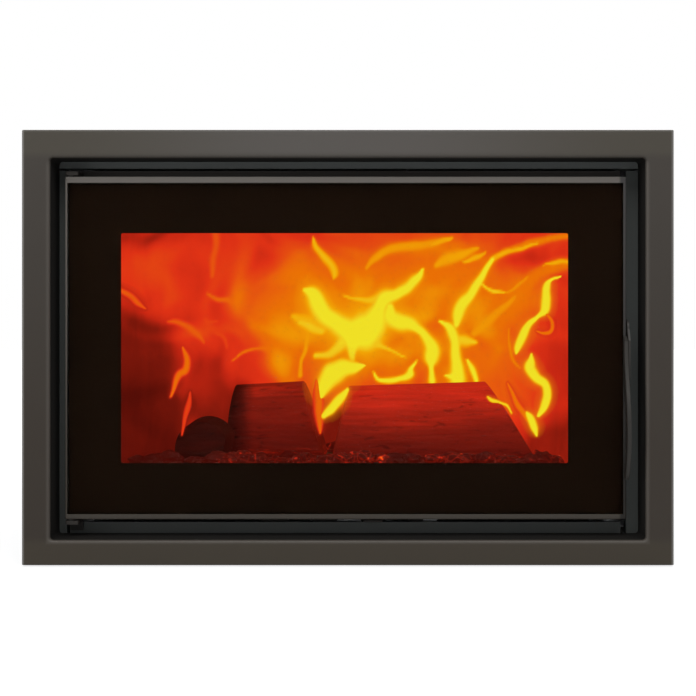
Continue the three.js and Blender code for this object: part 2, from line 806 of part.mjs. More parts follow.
function backBrickHalf(side) {
  const [left, right] = [(seat / 2) * side, (riserOuter - seat) * side].sort((a, b) => a - b);
  const outline = roundedRect({ left, right, bottom: brickBottom, top: lining.top, radius: brickEdge });
  outline.holes = airHoles(airHoleColumns.filter((x) => x * side > 0));
  return slab(outline, "y", lining.back, backBrick, { curveSegments: 4 });
}
add(insert, "back_brick_left", backBrickHalf(-1), fireBrick);
add(insert, "back_brick_right", backBrickHalf(1), fireBrick);

function floorBrickHalf(side) {
  const near = (seat / 2) * side;
  const far = (Math.min(lining.half, riserInner) - seat) * side;
  const front = fireboxFront + 6;
  const back = lining.back - seat;
  const notch = grown(grateArea, 1);
  const notchSide = notch.right * side;
  const points = [
    [near, front], [far, front], [far, back], [near, back],
    [near, notch.top], [notchSide, notch.top], [notchSide, notch.bottom], [near, notch.bottom],
  ];
  const outline = new THREE.Shape(points.map(([x, y]) => new THREE.Vector2(x, y)));
  return slab(outline, "z", brickBottom, floorBrick);
}
add(insert, "floor_brick_left", closed(floorBrickHalf(-1)), fireBrick);
add(insert, "floor_brick_right", closed(floorBrickHalf(1)), fireBrick);

// ---- Grate and ash pan ----
const grateTopOutline = roundedRect(grateArea);
const grateSlotPitch = (grateWidth - 2 * panMargin + 2) / (grateSlots - 1);
const grateBarBottom = hearthLevel - grateThickness;
grateTopOutline.holes = Array.from({ length: grateSlots }, (_, i) => {
  const middle = (i - (grateSlots - 1) / 2) * grateSlotPitch;
  const slot = { left: middle - grateSlotWidth / 2, right: middle + grateSlotWidth / 2 };
  const ends = { bottom: grateArea.bottom + grateMargin, top: grateArea.top - grateMargin, radius: 3 };
  return roundedRect({ ...slot, ...ends }, THREE.Path);
});
const skirtOutline = roundedRect(grateArea);
skirtOutline.holes = [roundedRect({ ...grown(grateArea, -grateSkirt), radius: 2 }, THREE.Path)];
const grate = join(
  slab(grateTopOutline, "z", grateBarBottom, grateThickness, { curveSegments: 1 }),
  slab(skirtOutline, "z", brickBottom, grateBarBottom - brickBottom, { curveSegments: 2 }),
);
add(insert, "grate", grate, castIron);

const panOuter = { ...grown(panHole, -seat - 1.5), radius: 3 };
const panRimArea = { ...grown(panHole, panRim), radius: 3 };
const panTop = brickBottom + panSheet;
const panBottom = panTop - panDepth;
const panLayer = (area, bottom, height) =>
  slab(roundedRect(area), "z", bottom, height, { curveSegments: 3 });
const pan = cut(
  join(panLayer(panOuter, panBottom, panDepth), panLayer(panRimArea, brickBottom, panSheet)),
  panLayer(grown(panOuter, -panSheet), panBottom + panSheet, panDepth + 5),
);
add(insert, "ash_pan", pan, zincSheet);

// ---- Baffles: a board lying on the bricks, and a steel deflector standing on it ----
const boardFront = fireboxFront + airwashDepth + baffleFrontGap;
const boardBottom = lining.top + seat;
const boardArea = {
  left: -riserOuter + seat,
  right: riserOuter - seat,
  bottom: boardFront,
  top: fireboxBack - wall - seat,
  radius: 2,
};
const board = slab(roundedRect(boardArea), "z", boardBottom, baffleThickness, { curveSegments: 1 });
add(insert, "baffle_lower", board, fireBrick);

const deflectorBottom = boardBottom + baffleThickness + seat;
const deflectorHalf = riserOuter - deflectorSideGap;
const deflectorFold = [
  [-deflectorHalf, deflectorBottom],
  [-deflectorHalf, deflectorBottom + deflectorLeg],
  [deflectorHalf, deflectorBottom + deflectorLeg],
  [deflectorHalf, deflectorBottom],
];
const deflectorFront = fireboxFront + airwashDepth + seat + deflectorFrontGap;
const deflector = slab(
  sheetSection(deflectorFold, -deflectorSheet), "y",
  deflectorFront, fireboxBack - wall - deflectorRearGap - deflectorFront,
);
add(insert, "baffle_upper", deflector, stovePaint);

// ---- Hinge: brackets on the body and pins on the door's top and bottom ----
function hingeBracket(up) {
  const doorEdge = up > 0 ? door.top : door.bottom;
  const near = doorEdge + hingeLeafGap * up;
  const far = near + hingeLeaf * up;
  const leafPlan = {
    left: hingeAxis.x - hingePinRadius - 1.3,
    right: hingeAxis.x + hingePinRadius + 6.5,
    bottom: hingeAxis.y - hingePinRadius - 2.6,
    top: frontPlane - seat,
    radius: 2.5,
  };
  const leaf = roundedRect(leafPlan);
  leaf.holes = [circle(hingeAxis.x, hingeAxis.y, hingePinRadius + pinClearance)];
  const flangeEnd = up > 0 ? plate.top - 0.5 : opening.bottom + 4;
  const flange = block(leafPlan.left, leafPlan.right, leafPlan.top - hingeFlange, leafPlan.top,
    Math.min(near, flangeEnd), Math.max(near, flangeEnd));
  return join(slab(leaf, "z", Math.min(near, far), hingeLeaf, { curveSegments: 8 }), flange);
}
add(insert, "hinge_bracket_top", hingeBracket(1), doorPaint);
add(insert, "hinge_bracket_bottom", hingeBracket(-1), doorPaint);

const hingePinLength = hingeLeafGap + hingeLeaf - seat + 1;
const hingePinProfile = [
  [0, 0],
  [hingePinRadius, 0],
  [hingePinRadius, hingePinLength - 1],
  [hingePinRadius - 1, hingePinLength],
  [0, hingePinLength],
];
const hingePin = turned(hingePinProfile, "z", [0, 0, 0], 24);
const upperPin = add(doorLeaf, "hinge_pin_top", hingePin, turnedSteel);
upperPin.position.set(hingeAxis.x, hingeAxis.y, door.top + seat);
const lowerPin = add(doorLeaf, "hinge_pin_bottom", hingePin.clone(), turnedSteel);
lowerPin.rotation.x = Math.PI;
lowerPin.position.set(hingeAxis.x, hingeAxis.y, door.bottom - seat);

// ---- Door: tray with narrow lips, glass, gasket, steel inner frame and rope seal ----
const lipOpening = inside(door, doorLip, 1);
const lipBack = doorFront + doorSheet;
const doorEdge = quarter(2, (a) => ({
  rect: grown(door, -doorEdgeRadius * (1 - Math.cos(a))),
  y: doorFront + doorEdgeRadius * (1 - Math.sin(a)),
}));
const doorFrame = loftedFrame([
  { rect: door, y: doorBack },
  ...doorEdge,
  { rect: grown(lipOpening, 0.4), y: doorFront },
  { rect: lipOpening, y: doorFront + 0.4 },
  { rect: lipOpening, y: lipBack },
  { rect: grown(door, -doorSheet), y: lipBack },
  { rect: grown(door, -doorSheet), y: doorBack },
]);
add(doorLeaf, "door_frame", doorFrame, doorPaint);

const glassFront = lipBack + seat;
const glassBack = glassFront + glassThickness;
const glassOutline = roundedRect({ ...grown(door, -glassInset), radius: 2 });
const glass = slab(glassOutline, "y", glassFront, glassThickness, { curveSegments: 3 });
add(doorLeaf, "door_glass", glass, glassPane);

const gasketFront = glassBack + seat;
const gasketBack = gasketFront + gasketThickness;
const gasketInner = grown(glassWindow, innerFrameMargin + 2);
const gasketOuter = grown(door, -glassInset - 2);
const gasketSection = [
  { rect: gasketInner, y: gasketFront },
  { rect: gasketOuter, y: gasketFront },
  { rect: gasketOuter, y: gasketBack },
  { rect: gasketInner, y: gasketBack },
];
const gasket = loftedFrame(gasketSection, 2);
add(doorLeaf, "glass_gasket", gasket, ropeFibre);

const innerFront = gasketBack + seat;
const innerBack = innerFront + innerFrameSheet;
const channelInner = ropeOffset - ropeRadius - 0.3;
const channelOuter = ropeOffset + ropeRadius + 0.3;
const ropeBack = frontPlane - 0.4; // the rope just clears the front plate
const channelFloor = ropeBack - 2 * ropeRadius - seat;
const innerEdge = grown(door, -doorSheet - seat);
const innerFrame = loftedFrame([
  { rect: grown(glassWindow, innerFrameMargin), y: innerFront },
  { rect: grown(glassWindow, innerFrameMargin), y: innerBack },
  { rect: grown(glassWindow, channelInner - ropeChannelWall), y: innerBack },
  { rect: grown(glassWindow, channelInner - ropeChannelWall), y: doorBack },
  { rect: grown(glassWindow, channelInner), y: doorBack },
  { rect: grown(glassWindow, channelInner), y: channelFloor },
  { rect: grown(glassWindow, channelOuter), y: channelFloor },
  { rect: grown(glassWindow, channelOuter), y: doorBack },
  { rect: grown(glassWindow, channelOuter + ropeChannelWall), y: doorBack },
  { rect: grown(glassWindow, channelOuter + ropeChannelWall), y: innerBack },
  { rect: grown(innerEdge, -innerFrameSheet), y: innerBack },
  { rect: grown(innerEdge, -innerFrameSheet), y: doorBack - 1 },
  { rect: innerEdge, y: doorBack - 1 },
  { rect: innerEdge, y: innerFront },
]);
add(doorLeaf, "door_inner_frame", innerFrame, stovePaint);

const ropeMiddle = channelFloor + seat + ropeRadius;
const rope = Array.from({ length: 8 }, (_, i) => {
  const angle = (2 * Math.PI * (i + 0.5)) / 8;
  return {
    rect: grown(glassWindow, ropeOffset + ropeRadius * Math.cos(angle)),
    y: ropeMiddle + ropeRadius * Math.sin(angle),
  };
});
add(doorLeaf, "door_seal", loftedFrame(rope), ropeFibre);

// ---- Lever: a bowed grip on a latch plate, turning on a pin in the door's side. The plate's hook
// holds a pin on the jamb. ----
const pinStart = door.right + seat;
const headStart = latchPlate.right + seat;
const pivotPin = turned(
  [[0, pinStart], [pivotRadius, pinStart], [pivotRadius, headStart], [pivotHeadRadius, headStart],
    [pivotHeadRadius - 0.6, headStart + pivotHead], [0, headStart + pivotHead]],
  "x", [0, pivot.y, pivot.z], 24,
);
add(doorLeaf, "handle_pivot_pin", pivotPin, turnedSteel);

const catchStart = latchPlate.left - 1.5;
const catchLength = jambInner.right - seat - catchStart;
const catchRod = rod(catchPinRadius, catchLength, "x", [catchStart, catchPin.y, catchPin.z], 20);
add(insert, "latch_catch_pin", catchRod, turnedSteel);

function latchPlateOutline() {
  const armTop = catchPinRise - catchPinRadius - hookGap;
  const armBottom = armTop - armDepth;
  const hookFront = catchPin.y - pivot.y + catchPinRadius + hookGap;
  const hookBack = hookFront + hookThickness;
  const stem = { front: -18, back: -4, bottom: -62, corner: 5 };
  const eyeMeets = Math.acos(armTop / eyeRadius);
  const outline = new THREE.Shape();
  outline.moveTo(hookBack, armBottom);
  outline.lineTo(hookBack, armTop + hookRise - 1.5);
  outline.lineTo(hookBack - 1.5, armTop + hookRise);
  outline.lineTo(hookFront, armTop + hookRise);
  outline.lineTo(hookFront, armTop);
  outline.absarc(0, 0, eyeRadius, Math.PI / 2 - eyeMeets, Math.PI);
  outline.lineTo(stem.front, -14);
  outline.lineTo(stem.front, stem.bottom + stem.corner);
  outline.quadraticCurveTo(stem.front, stem.bottom, stem.front + stem.corner, stem.bottom);
  outline.lineTo(stem.back - stem.corner, stem.bottom);
  outline.quadraticCurveTo(stem.back, stem.bottom, stem.back, stem.bottom + stem.corner);
  outline.lineTo(stem.back, -22);
  outline.quadraticCurveTo(-2, armBottom - 3, 10, armBottom);
  outline.closePath();
  outline.holes = [circle(0, 0, pivotRadius + pinClearance)];
  return outline;
}
const smooth = { curveSegments: 8 };
const plateSlab = slab(latchPlateOutline(), "x", latchPlate.left, latchPlateThickness, smooth);
add(lever, "latch_plate", closed(plateSlab.translate(0, pivot.y, pivot.z)), leverSteel);

function gripOutline() {
  const rear = -pivotDepth - 0.6; // just in front of the door's lip
  const front = rear - 9;
  const top = -gripTop;
  const belly = top - gripBelly;
  const bottom = top - gripLength;
  const bellyFront = -pivotDepth - gripReach;
  const bellyRear = bellyFront + gripDepth;
  const outline = new THREE.Shape();
  outline.moveTo(rear, top);
  outline.lineTo(rear - 1.5, top);
  outline.lineTo(front, top - 6);
  outline.bezierCurveTo(front, top - 50, bellyFront, belly + 42, bellyFront, belly);
  outline.bezierCurveTo(bellyFront, belly - 30, rear - 20, bottom + 8, rear - 12, bottom + 1);
  outline.quadraticCurveTo(rear - 7, bottom - 1, rear - 4, bottom + 4);
  outline.bezierCurveTo(rear - 9, bottom + 16, bellyRear, belly - 26, bellyRear, belly);
  outline.bezierCurveTo(bellyRear, belly + 34, rear, top - 74, rear, top - 40);
  outline.closePath();
  return outline;
}
const gripEdge = 0.8;
const gripBevel = {
  bevelEnabled: true,
  bevelSize: gripEdge,
  bevelThickness: gripEdge,
  bevelOffset: -gripEdge,
  bevelSegments: 1,
};
const gripStart = latchPlate.left - seat - gripThickness + gripEdge;
const gripCore = gripThickness - 2 * gripEdge;
const grip = slab(gripOutline(), "x", gripStart, gripCore, { ...gripBevel, ...smooth });
add(lever, "handle_grip", closed(grip.translate(0, pivot.y, pivot.z)), leverSteel);

// ---- Logs: split billets lying on the hearth ----
const splitFace = 0.72; // how far below its heart a billet is split, in parts of its radius
const billetTaper = 0.05;

function billet({ length, radius, slants: [leftSlant, rightSlant] }, sides = 9) {
  const section = new THREE.Shape();
  section.absarc(0, 0, radius, -0.12 * Math.PI, 0.88 * Math.PI);
  section.lineTo(-radius * 0.86, -radius * 0.5);
  section.lineTo(-radius * 0.15, -radius * splitFace);
  section.lineTo(radius * 0.75, -radius * splitFace);
  section.closePath();
  const geometry = slab(section, "x", -length / 2, length, { curveSegments: sides, steps: 1 });
  const position = geometry.getAttribute("position");
  for (let i = 0; i < position.count; i += 1) {
    const along = position.getX(i) / length + 0.5;
    const taper = 1 - billetTaper * (1 - along);
    const height = (position.getZ(i) + radius * splitFace) * taper;
    const slant = along < 0.5 ? -leftSlant : rightSlant;
    position.setXYZ(i, position.getX(i) - slant * height, position.getY(i) * taper, height);
  }
  return closed(geometry);
}

for (const [name, log] of Object.entries(logs)) {
  const mesh = add(insert, `log_${name}`, billet(log), charredWood);
  mesh.rotation.z = THREE.MathUtils.degToRad(log.turn);
  const middle = lining.half - log.fromRight - log.length / 2;
  mesh.position.set(middle, lining.back - log.fromBack, hearthLevel + seat);
}

// ---- The origin is under the middle of the whole object, on the floor ----
const foremost = doorFront - gripReach;
insert.position.y = -(foremost + spigotBack) / 2;

export default insert;
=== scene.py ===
"""Visual model of a wood-burning fireplace insert, in metres, in the frame of its CAD model."""

import math
import random
import bmesh
import bpy
from mathutils import Matrix, Vector, noise


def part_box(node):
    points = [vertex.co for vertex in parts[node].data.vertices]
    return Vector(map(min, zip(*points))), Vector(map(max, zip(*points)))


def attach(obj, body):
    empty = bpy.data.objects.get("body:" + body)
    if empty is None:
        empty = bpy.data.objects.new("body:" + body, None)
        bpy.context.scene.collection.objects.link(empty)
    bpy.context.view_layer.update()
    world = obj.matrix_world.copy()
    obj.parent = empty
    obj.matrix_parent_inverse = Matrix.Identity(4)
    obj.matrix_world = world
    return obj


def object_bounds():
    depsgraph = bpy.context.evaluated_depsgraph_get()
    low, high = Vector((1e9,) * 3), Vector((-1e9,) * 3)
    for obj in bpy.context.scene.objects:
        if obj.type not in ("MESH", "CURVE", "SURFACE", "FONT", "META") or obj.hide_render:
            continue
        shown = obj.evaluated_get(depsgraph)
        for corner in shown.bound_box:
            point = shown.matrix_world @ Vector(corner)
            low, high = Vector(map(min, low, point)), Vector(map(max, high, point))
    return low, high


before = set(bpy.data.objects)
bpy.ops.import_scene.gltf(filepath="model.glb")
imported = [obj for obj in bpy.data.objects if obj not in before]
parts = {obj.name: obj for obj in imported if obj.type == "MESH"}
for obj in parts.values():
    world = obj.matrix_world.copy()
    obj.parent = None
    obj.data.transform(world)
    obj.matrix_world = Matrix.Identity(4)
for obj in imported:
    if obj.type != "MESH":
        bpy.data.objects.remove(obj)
cad_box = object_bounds()


# ---- Camera -------------------------------------------------------------------------------------
# The eye stands 1.5 m in front of the trim, a little right of its middle and above it, and looks
# straight at it. The lens is shifted, so that the trim's edges stay upright in the picture.
trim_low, trim_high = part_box("trim_frame")
eye_distance = 1.5
eye_right = 0.036
eye_height = 0.322
camera = bpy.data.objects.new("camera", bpy.data.cameras.new("camera"))
camera.location = (eye_right, trim_low.y - eye_distance, eye_height)
camera.rotation_euler = (math.radians(90), 0, 0)
camera.data.sensor_width = 36
camera.data.lens = 64.93
camera.data.shift_x = -0.043
camera.data.shift_y = -0.0727
bpy.context.scene.collection.objects.link(camera)
bpy.context.scene.camera = camera
bpy.context.scene.view_settings.view_transform = "Standard"


# ---- Studio -------------------------------------------------------------------------------------
# A pale floor under a white surround, with a wide lamp above the front, a weak one at the left and
# one behind. The floor takes the insert's soft shadow. Finish.node below builds every finish.
class Wire:
    """An output of a shader node, which can stand in an expression."""

    def __init__(self, finish, socket):
        self.finish = finish
        self.socket = socket

    def sum(self, operation, first, second):
        return self.finish.node("Math", {"operation": operation}, {0: first, 1: second})

    def __add__(self, other):
        return self.sum("ADD", self, other)

    def __radd__(self, other):
        return self.sum("ADD", other, self)

    def __sub__(self, other):
        return self.sum("SUBTRACT", self, other)

    def __rsub__(self, other):
        return self.sum("SUBTRACT", other, self)

    def __mul__(self, other):
        return self.sum("MULTIPLY", self, other)

    def __rmul__(self, other):
        return self.sum("MULTIPLY", other, self)


class Finish:
    """A finish as it is being made: its node tree, and the one way in which nodes are added."""

    def __init__(self, owner):
        self.owner = owner
        owner.use_nodes = True
        self.tree = owner.node_tree
        self.tree.nodes.clear()

    def node(self, kind, settings, sockets, output=0):
        made = self.tree.nodes.new("ShaderNode" + kind)
        for setting, value in settings.items():
            if setting == "stops":
                ends = made.color_ramp.elements
                ends[0].position, ends[0].color = value[0][0], (*value[0][1], 1)
                ends[-1].position, ends[-1].color = value[-1][0], (*value[-1][1], 1)
                for place, colour in value[1:-1]:
                    made.color_ramp.elements.new(place).color = (*colour, 1)
            else:
                setattr(made, setting, value)
        for socket, value in sockets.items():
            if isinstance(value, Wire):
                self.tree.links.new(value.socket, made.inputs[socket])
            else:
                made.inputs[socket].default_value = value
        return Wire(self, made.outputs[output]) if made.outputs else None

    def here(self):
        return self.node("TexCoord", {}, {}, "Object")

    def noise(self, vector, scale, detail=2.0, distortion=0.0):
        return self.node(
            "TexNoise", {}, {"Vector": vector, "Scale": scale, "Detail": detail, "Distortion": distortion}
        )

    def mix(self, factor, first, second):
        return self.node(
            "Mix", {"data_type": "RGBA"}, {0: factor, 6: solid(first), 7: solid(second)}, 2
        )

    def stretched(self, vector, scale):
        return self.node("Mapping", {}, {"Vector": vector, "Scale": scale})

    def axis(self, vector, letter):
        return self.node("SeparateXYZ", {}, {"Vector": vector}, letter)

    def band(self, value, low, high):
        return self.node(
            "MapRange", {"interpolation_type": "SMOOTHSTEP"}, {0: value, 1: low, 2: high}
        )

    def ramp(self, value, stops):
        return self.node("ValToRGB", {"stops": stops}, {"Fac": value})

    def bump(self, height, depth, strength=1.0):
        return self.node("Bump", {}, {"Height": height, "Distance": depth, "Strength": strength})

    def straight_ray(self):
        """1 for a ray from the eye, also through glass or off a mirror, and 0 for falling light."""
        seen = self.node("LightPath", {}, {}, "Is Camera Ray")
        mirrored = self.node("LightPath", {}, {}, "Is Glossy Ray")
        through = self.node("LightPath", {}, {}, "Is Transmission Ray")
        return self.node("Math", {"operation": "MINIMUM"}, {0: seen + mirrored + through, 1: 1.0})

    def principled(self, **sockets):
        named = {name.replace("_", " "): solid(value) for name, value in sockets.items()}
        shader = self.node("BsdfPrincipled", {}, named)
        self.node("OutputMaterial", {}, {"Surface": shader})
        return self.owner


def solid(value):
    return (*value, 1) if isinstance(value, tuple) and len(value) == 3 else value


def painted_on(material, *names):
    for name in names:
        parts[name].data.materials.clear()
        parts[name].data.materials.append(material)


sky = Finish(bpy.data.worlds.new("studio"))
bpy.context.scene.world = sky.owner
room = sky.node("Background", {}, {"Color": (0.93, 0.96, 1, 1), "Strength": 0.42})
white = sky.node("Background", {}, {"Color": (1, 1, 1, 1), "Strength": 1.0})
both = sky.node("MixShader", {}, {0: sky.straight_ray(), 1: room, 2: white})
sky.node("OutputWorld", {}, {"Surface": both})

floor_reach = 6
floor_drop = 0.0002
shadow_near, shadow_far = 0.55, 1.4
white_near = 0.64
floor_mesh = bpy.data.meshes.new("studio_floor")
floor_mesh.from_pydata(
    [(-floor_reach, -floor_reach, 0), (floor_reach, -floor_reach, 0),
     (floor_reach, floor_reach, 0), (-floor_reach, floor_reach, 0)],
    [], [(0, 1, 2, 3)],
)
studio_floor = bpy.data.objects.new("studio_floor", floor_mesh)
studio_floor.location.z = cad_box[0][2] - floor_drop
bpy.context.scene.collection.objects.link(studio_floor)
cloth = Finish(bpy.data.materials.new("pale_floor"))
matt = cloth.node("BsdfDiffuse", {}, {"Color": (0.85, 0.85, 0.85, 1)})
lit = cloth.node("Emission", {}, {"Color": (1, 1, 1, 1), "Strength": 1.2})
from_insert = cloth.node("VectorMath", {"operation": "LENGTH"}, {0: cloth.here()}, "Value")
faded = white_near + cloth.band(from_insert, shadow_near, shadow_far) * (1 - white_near)
covered = cloth.node("MixShader", {}, {0: cloth.straight_ray() * faded, 1: matt, 2: lit})
cloth.node("OutputMaterial", {}, {"Surface": covered})
floor_mesh.materials.append(cloth.owner)


def lamp(name, place, size, power, aim):
    light = bpy.data.lights.new(name, "AREA")
    light.shape = "RECTANGLE"
    light.size, light.size_y = size
    light.energy = power
    holder = bpy.data.objects.new(name, light)
    holder.location = place
    holder.rotation_euler = (Vector(aim) - Vector(place)).to_track_quat("-Z", "Y").to_euler()
    bpy.context.scene.collection.objects.link(holder)


insert_middle = (0, 0, 0.27)
lamp("softbox_above", (0.1, -1.7, 2.3), (2.6, 1.4), 52, insert_middle)
lamp("softbox_left", (-2.4, -1.6, 1.2), (1.4, 1.8), 16, insert_middle)
lamp("softbox_behind", (0.8, 2.4, 2.2), (2.4, 1.6), 34, insert_middle)


# ---- Outer casing, ducts, rails and feet --------------------------------------------------------
# The convection casing is folded from zinc-coated sheet, whose crystals show as a faint spangle.
# The ducts, rails and clips are of the same sheet, and the feet are turned steel.
zinc = Finish(bpy.data.materials.new("zinc_sheet"))
here = zinc.here()
crystal = zinc.node("TexVoronoi", {"feature": "F1"}, {"Vector": here, "Scale": 70.0}, "Color")
tone = zinc.axis(crystal, "X")
stain = zinc.noise(here, 6.0, 4.0)
zinc_sheet = zinc.principled(
    Base_Color=zinc.mix(stain * 0.5 + tone * 0.4, (0.25, 0.255, 0.26), (0.40, 0.405, 0.41)),
    Metallic=0.9,
    Roughness=0.38 + tone * 0.12 + stain * 0.12,
    Normal=zinc.bump(zinc.noise(here, 90.0), 0.0004, 0.25),
)
painted_on(
    zinc_sheet, "casing_top", "casing_base", "casing_left", "casing_right", "casing_back",
    "rear_air_duct", "air_box", "air_inlet_spigot", "trim_clip_lower_left",
    "trim_clip_upper_left", "trim_clip_lower_right", "trim_clip_upper_right",
    "support_rail_left", "support_rail_right",
)

steel = Finish(bpy.data.materials.new("turned_steel"))
here = steel.here()
tool_mark = steel.noise(steel.stretched(here, (40, 40, 1800)), 1.0, 1.0)
turned_steel = steel.principled(
    Base_Color=steel.mix(steel.noise(here, 60.0), (0.42, 0.41, 0.39), (0.56, 0.55, 0.53)),
    Metallic=1.0,
    Roughness=0.24 + tool_mark * 0.16,
    Normal=steel.bump(tool_mark, 0.0001, 0.3),
)
painted_on(
    turned_steel, "levelling_foot_front_left", "levelling_foot_front_right",
    "levelling_foot_rear_left", "levelling_foot_rear_right", "latch_catch_pin",
)


def from_bmesh(name, made, material, body, smooth=True):
    mesh = bpy.data.meshes.new(name)
    bmesh.ops.recalc_face_normals(made, faces=made.faces)
    made.to_mesh(mesh)
    made.free()
    mesh.materials.append(material)
    for face in mesh.polygons:
        face.use_smooth = smooth
    piece = bpy.data.objects.new(name, mesh)
    bpy.context.scene.collection.objects.link(piece)
    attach(piece, body)


def hex_screw(made, place, outward):
    """A flanged hexagon screw head, its seat at place and its top outward. Each of its rims has
    a number of sides, a radius and a height."""
    turn = Vector((0, 0, 1)).rotation_difference(Vector(outward)).to_matrix().to_4x4()
    stand = Matrix.Translation(Vector(place)) @ turn
    rims = [(24, 0.0060, 0.0), (24, 0.0060, 0.0008), (24, 0.0049, 0.0013)]
    rims += [(6, 0.0042, 0.0013), (6, 0.0042, 0.0036), (6, 0.0037, 0.0041)]
    for lower, upper in ((0, 1), (1, 2), (3, 4), (4, 5)):
        rows = []
        for sides, radius, height in (rims[lower], rims[upper]):
            angles = [2 * math.pi * step / sides for step in range(sides)]
            rows.append([
                made.verts.new(stand @ Vector((radius * math.cos(a), radius * math.sin(a), height)))
                for a in angles
            ])
        for step in range(len(rows[0])):
            after = (step + 1) % len(rows[0])
            made.faces.new((rows[0][step], rows[0][after], rows[1][after], rows[1][step]))
        if upper in (2, 5):
            made.faces.new(rows[1])


casing_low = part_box("casing_left")[0]
casing_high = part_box("casing_right")[1]
casing_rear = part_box("casing_back")[1].y
screws = bmesh.new()
for height in (0.06, 0.19, 0.33, 0.46):
    hex_screw(screws, (casing_low.x, casing_rear - 0.010, height), (-1, 0, 0))
    hex_screw(screws, (casing_high.x, casing_rear - 0.010, height), (1, 0, 0))
for side in (-0.3, -0.1, 0.1, 0.3):
    hex_screw(screws, (side, casing_rear, casing_high.z - 0.010), (0, 1, 0))
from_bmesh("casing_screws", screws, turned_steel, "insert", smooth=False)


# ---- Firebox shell ------------------------------------------------------------------------------
# The welded firebox, the airwash duct and the steel baffle are plate in matt black stove paint,
# with browner patches from the heat.
def stove_enamel(name, colour, warm, roughness, peel=0.5):
    paint = Finish(bpy.data.materials.new(name))
    here = paint.here()
    cloud = paint.noise(here, 7.0, 3.0)
    speck = paint.noise(here, 650.0, 2.0)
    return paint.principled(
        Base_Color=paint.mix(cloud * 0.8 + speck * 0.2, colour, warm),
        Roughness=roughness + cloud * 0.10 + speck * 0.06,
        Specular_IOR_Level=0.22,
        Normal=paint.bump(speck, 0.0002, peel * 0.4),
    )


matt_black = stove_enamel("stove_paint", (0.016, 0.0145, 0.013), (0.028, 0.022, 0.018), 0.52)
painted_on(
    matt_black, "firebox_left_wall", "firebox_right_wall", "firebox_back", "firebox_floor",
    "firebox_roof", "airwash_duct", "airwash_riser_left", "airwash_riser_right", "baffle_upper",
    "ash_pan", "firebox_front",
)


# ---- Brick lining -------------------------------------------------------------------------------
# Pressed vermiculite boards line the fire. They are coarse and sooted in patches, and carry painted
# firelight: a glow from dull red to orange towards the middle of the fire. The hearth's own boards
# lie under ash and sparks.
fire_colours = [
    (0.00, (0.010, 0.0014, 0.0008)),
    (0.14, (0.070, 0.0035, 0.0018)),
    (0.26, (0.200, 0.0090, 0.0035)),
    (0.38, (0.560, 0.0200, 0.0065)),
    (0.47, (0.745, 0.0330, 0.0080)),
    (0.56, (0.790, 0.0720, 0.0060)),
    (0.68, (0.840, 0.1750, 0.0015)),
    (0.82, (0.905, 0.3900, 0.0020)),
    (1.00, (0.890, 0.7700, 0.0200)),
]
fire_heart = (0.055, 0.0, 0.24)

lining = Finish(bpy.data.materials.new("fire_brick"))
here = lining.here()
grit = lining.node("TexVoronoi", {"feature": "F1"}, {"Vector": here, "Scale": 420.0}, "Distance")
flake = lining.noise(here, 130.0, 3.0)
soot = lining.noise(here, 9.0, 3.0)
# Painted firelight: the boards glow more near the fire's heart and less low by the hearth.
away = lining.node("VectorMath", {"operation": "DISTANCE"}, {0: here, 1: fire_heart}, "Value")
above_hearth = lining.band(lining.axis(here, "Z"), 0.104, 0.135)
painted_firelight = (0.62 - away * 1.05 + soot * 0.16 + flake * 0.07) * (0.35 + above_hearth * 0.65)
fire_brick = lining.principled(
    Base_Color=lining.mix(soot * 0.7 + grit * 0.3, (0.22, 0.15, 0.095), (0.46, 0.33, 0.21)),
    Roughness=0.78 + flake * 0.18,
    Specular_IOR_Level=0.2,
    Emission_Color=lining.ramp(painted_firelight, fire_colours),
    Emission_Strength=0.75,
    Normal=lining.bump(grit * 0.6 + flake * 0.6, 0.0011, 0.8),
)
painted_on(
    fire_brick, "side_brick_left", "side_brick_right", "back_brick_left", "back_brick_right",
    "baffle_lower",
)

hearth = Finish(bpy.data.materials.new("ashy_brick"))
here = hearth.here()
grit = hearth.node("TexVoronoi", {"feature": "F1"}, {"Vector": here, "Scale": 260.0}, "Distance")
drift = hearth.noise(here, 16.0, 5.0, 0.6)
spark = hearth.band(hearth.noise(here, 150.0, 2.0), 0.60, 0.72)
away = hearth.node("VectorMath", {"operation": "DISTANCE"}, {0: here, 1: (0.03, 0.0, 0.1)}, "Value")
ashy_brick = hearth.principled(
    Base_Color=hearth.mix(drift * 0.8 + grit * 0.3, (0.006, 0.0045, 0.0038), (0.060, 0.050, 0.044)),
    Roughness=0.85 + grit * 0.1,
    Specular_IOR_Level=0.1,
    Emission_Color=hearth.ramp(0.02 + spark * hearth.band(away, 0.30, 0.05) * 0.42, fire_colours),
    Emission_Strength=0.8,
    Normal=hearth.bump(grit * 0.5 + drift, 0.0020, 0.9),
)
painted_on(ashy_brick, "floor_brick_left", "floor_brick_right")


# ---- Grate and flue collar ----------------------------------------------------------------------
# Two grey-iron castings, left as cast: a slotted grate let into the hearth, and the collar that
# takes the flue pipe.
iron = Finish(bpy.data.materials.new("cast_iron"))
here = iron.here()
sand = iron.noise(here, 480.0, 4.0)
patch = iron.noise(here, 16.0, 3.0)
cast_iron = iron.principled(
    Base_Color=iron.mix(patch, (0.021, 0.020, 0.019), (0.045, 0.041, 0.037)),
    Metallic=0.25,
    Roughness=0.55 + sand * 0.2,
    Normal=iron.bump(sand, 0.0006, 0.7),
)
painted_on(cast_iron, "grate", "flue_collar")
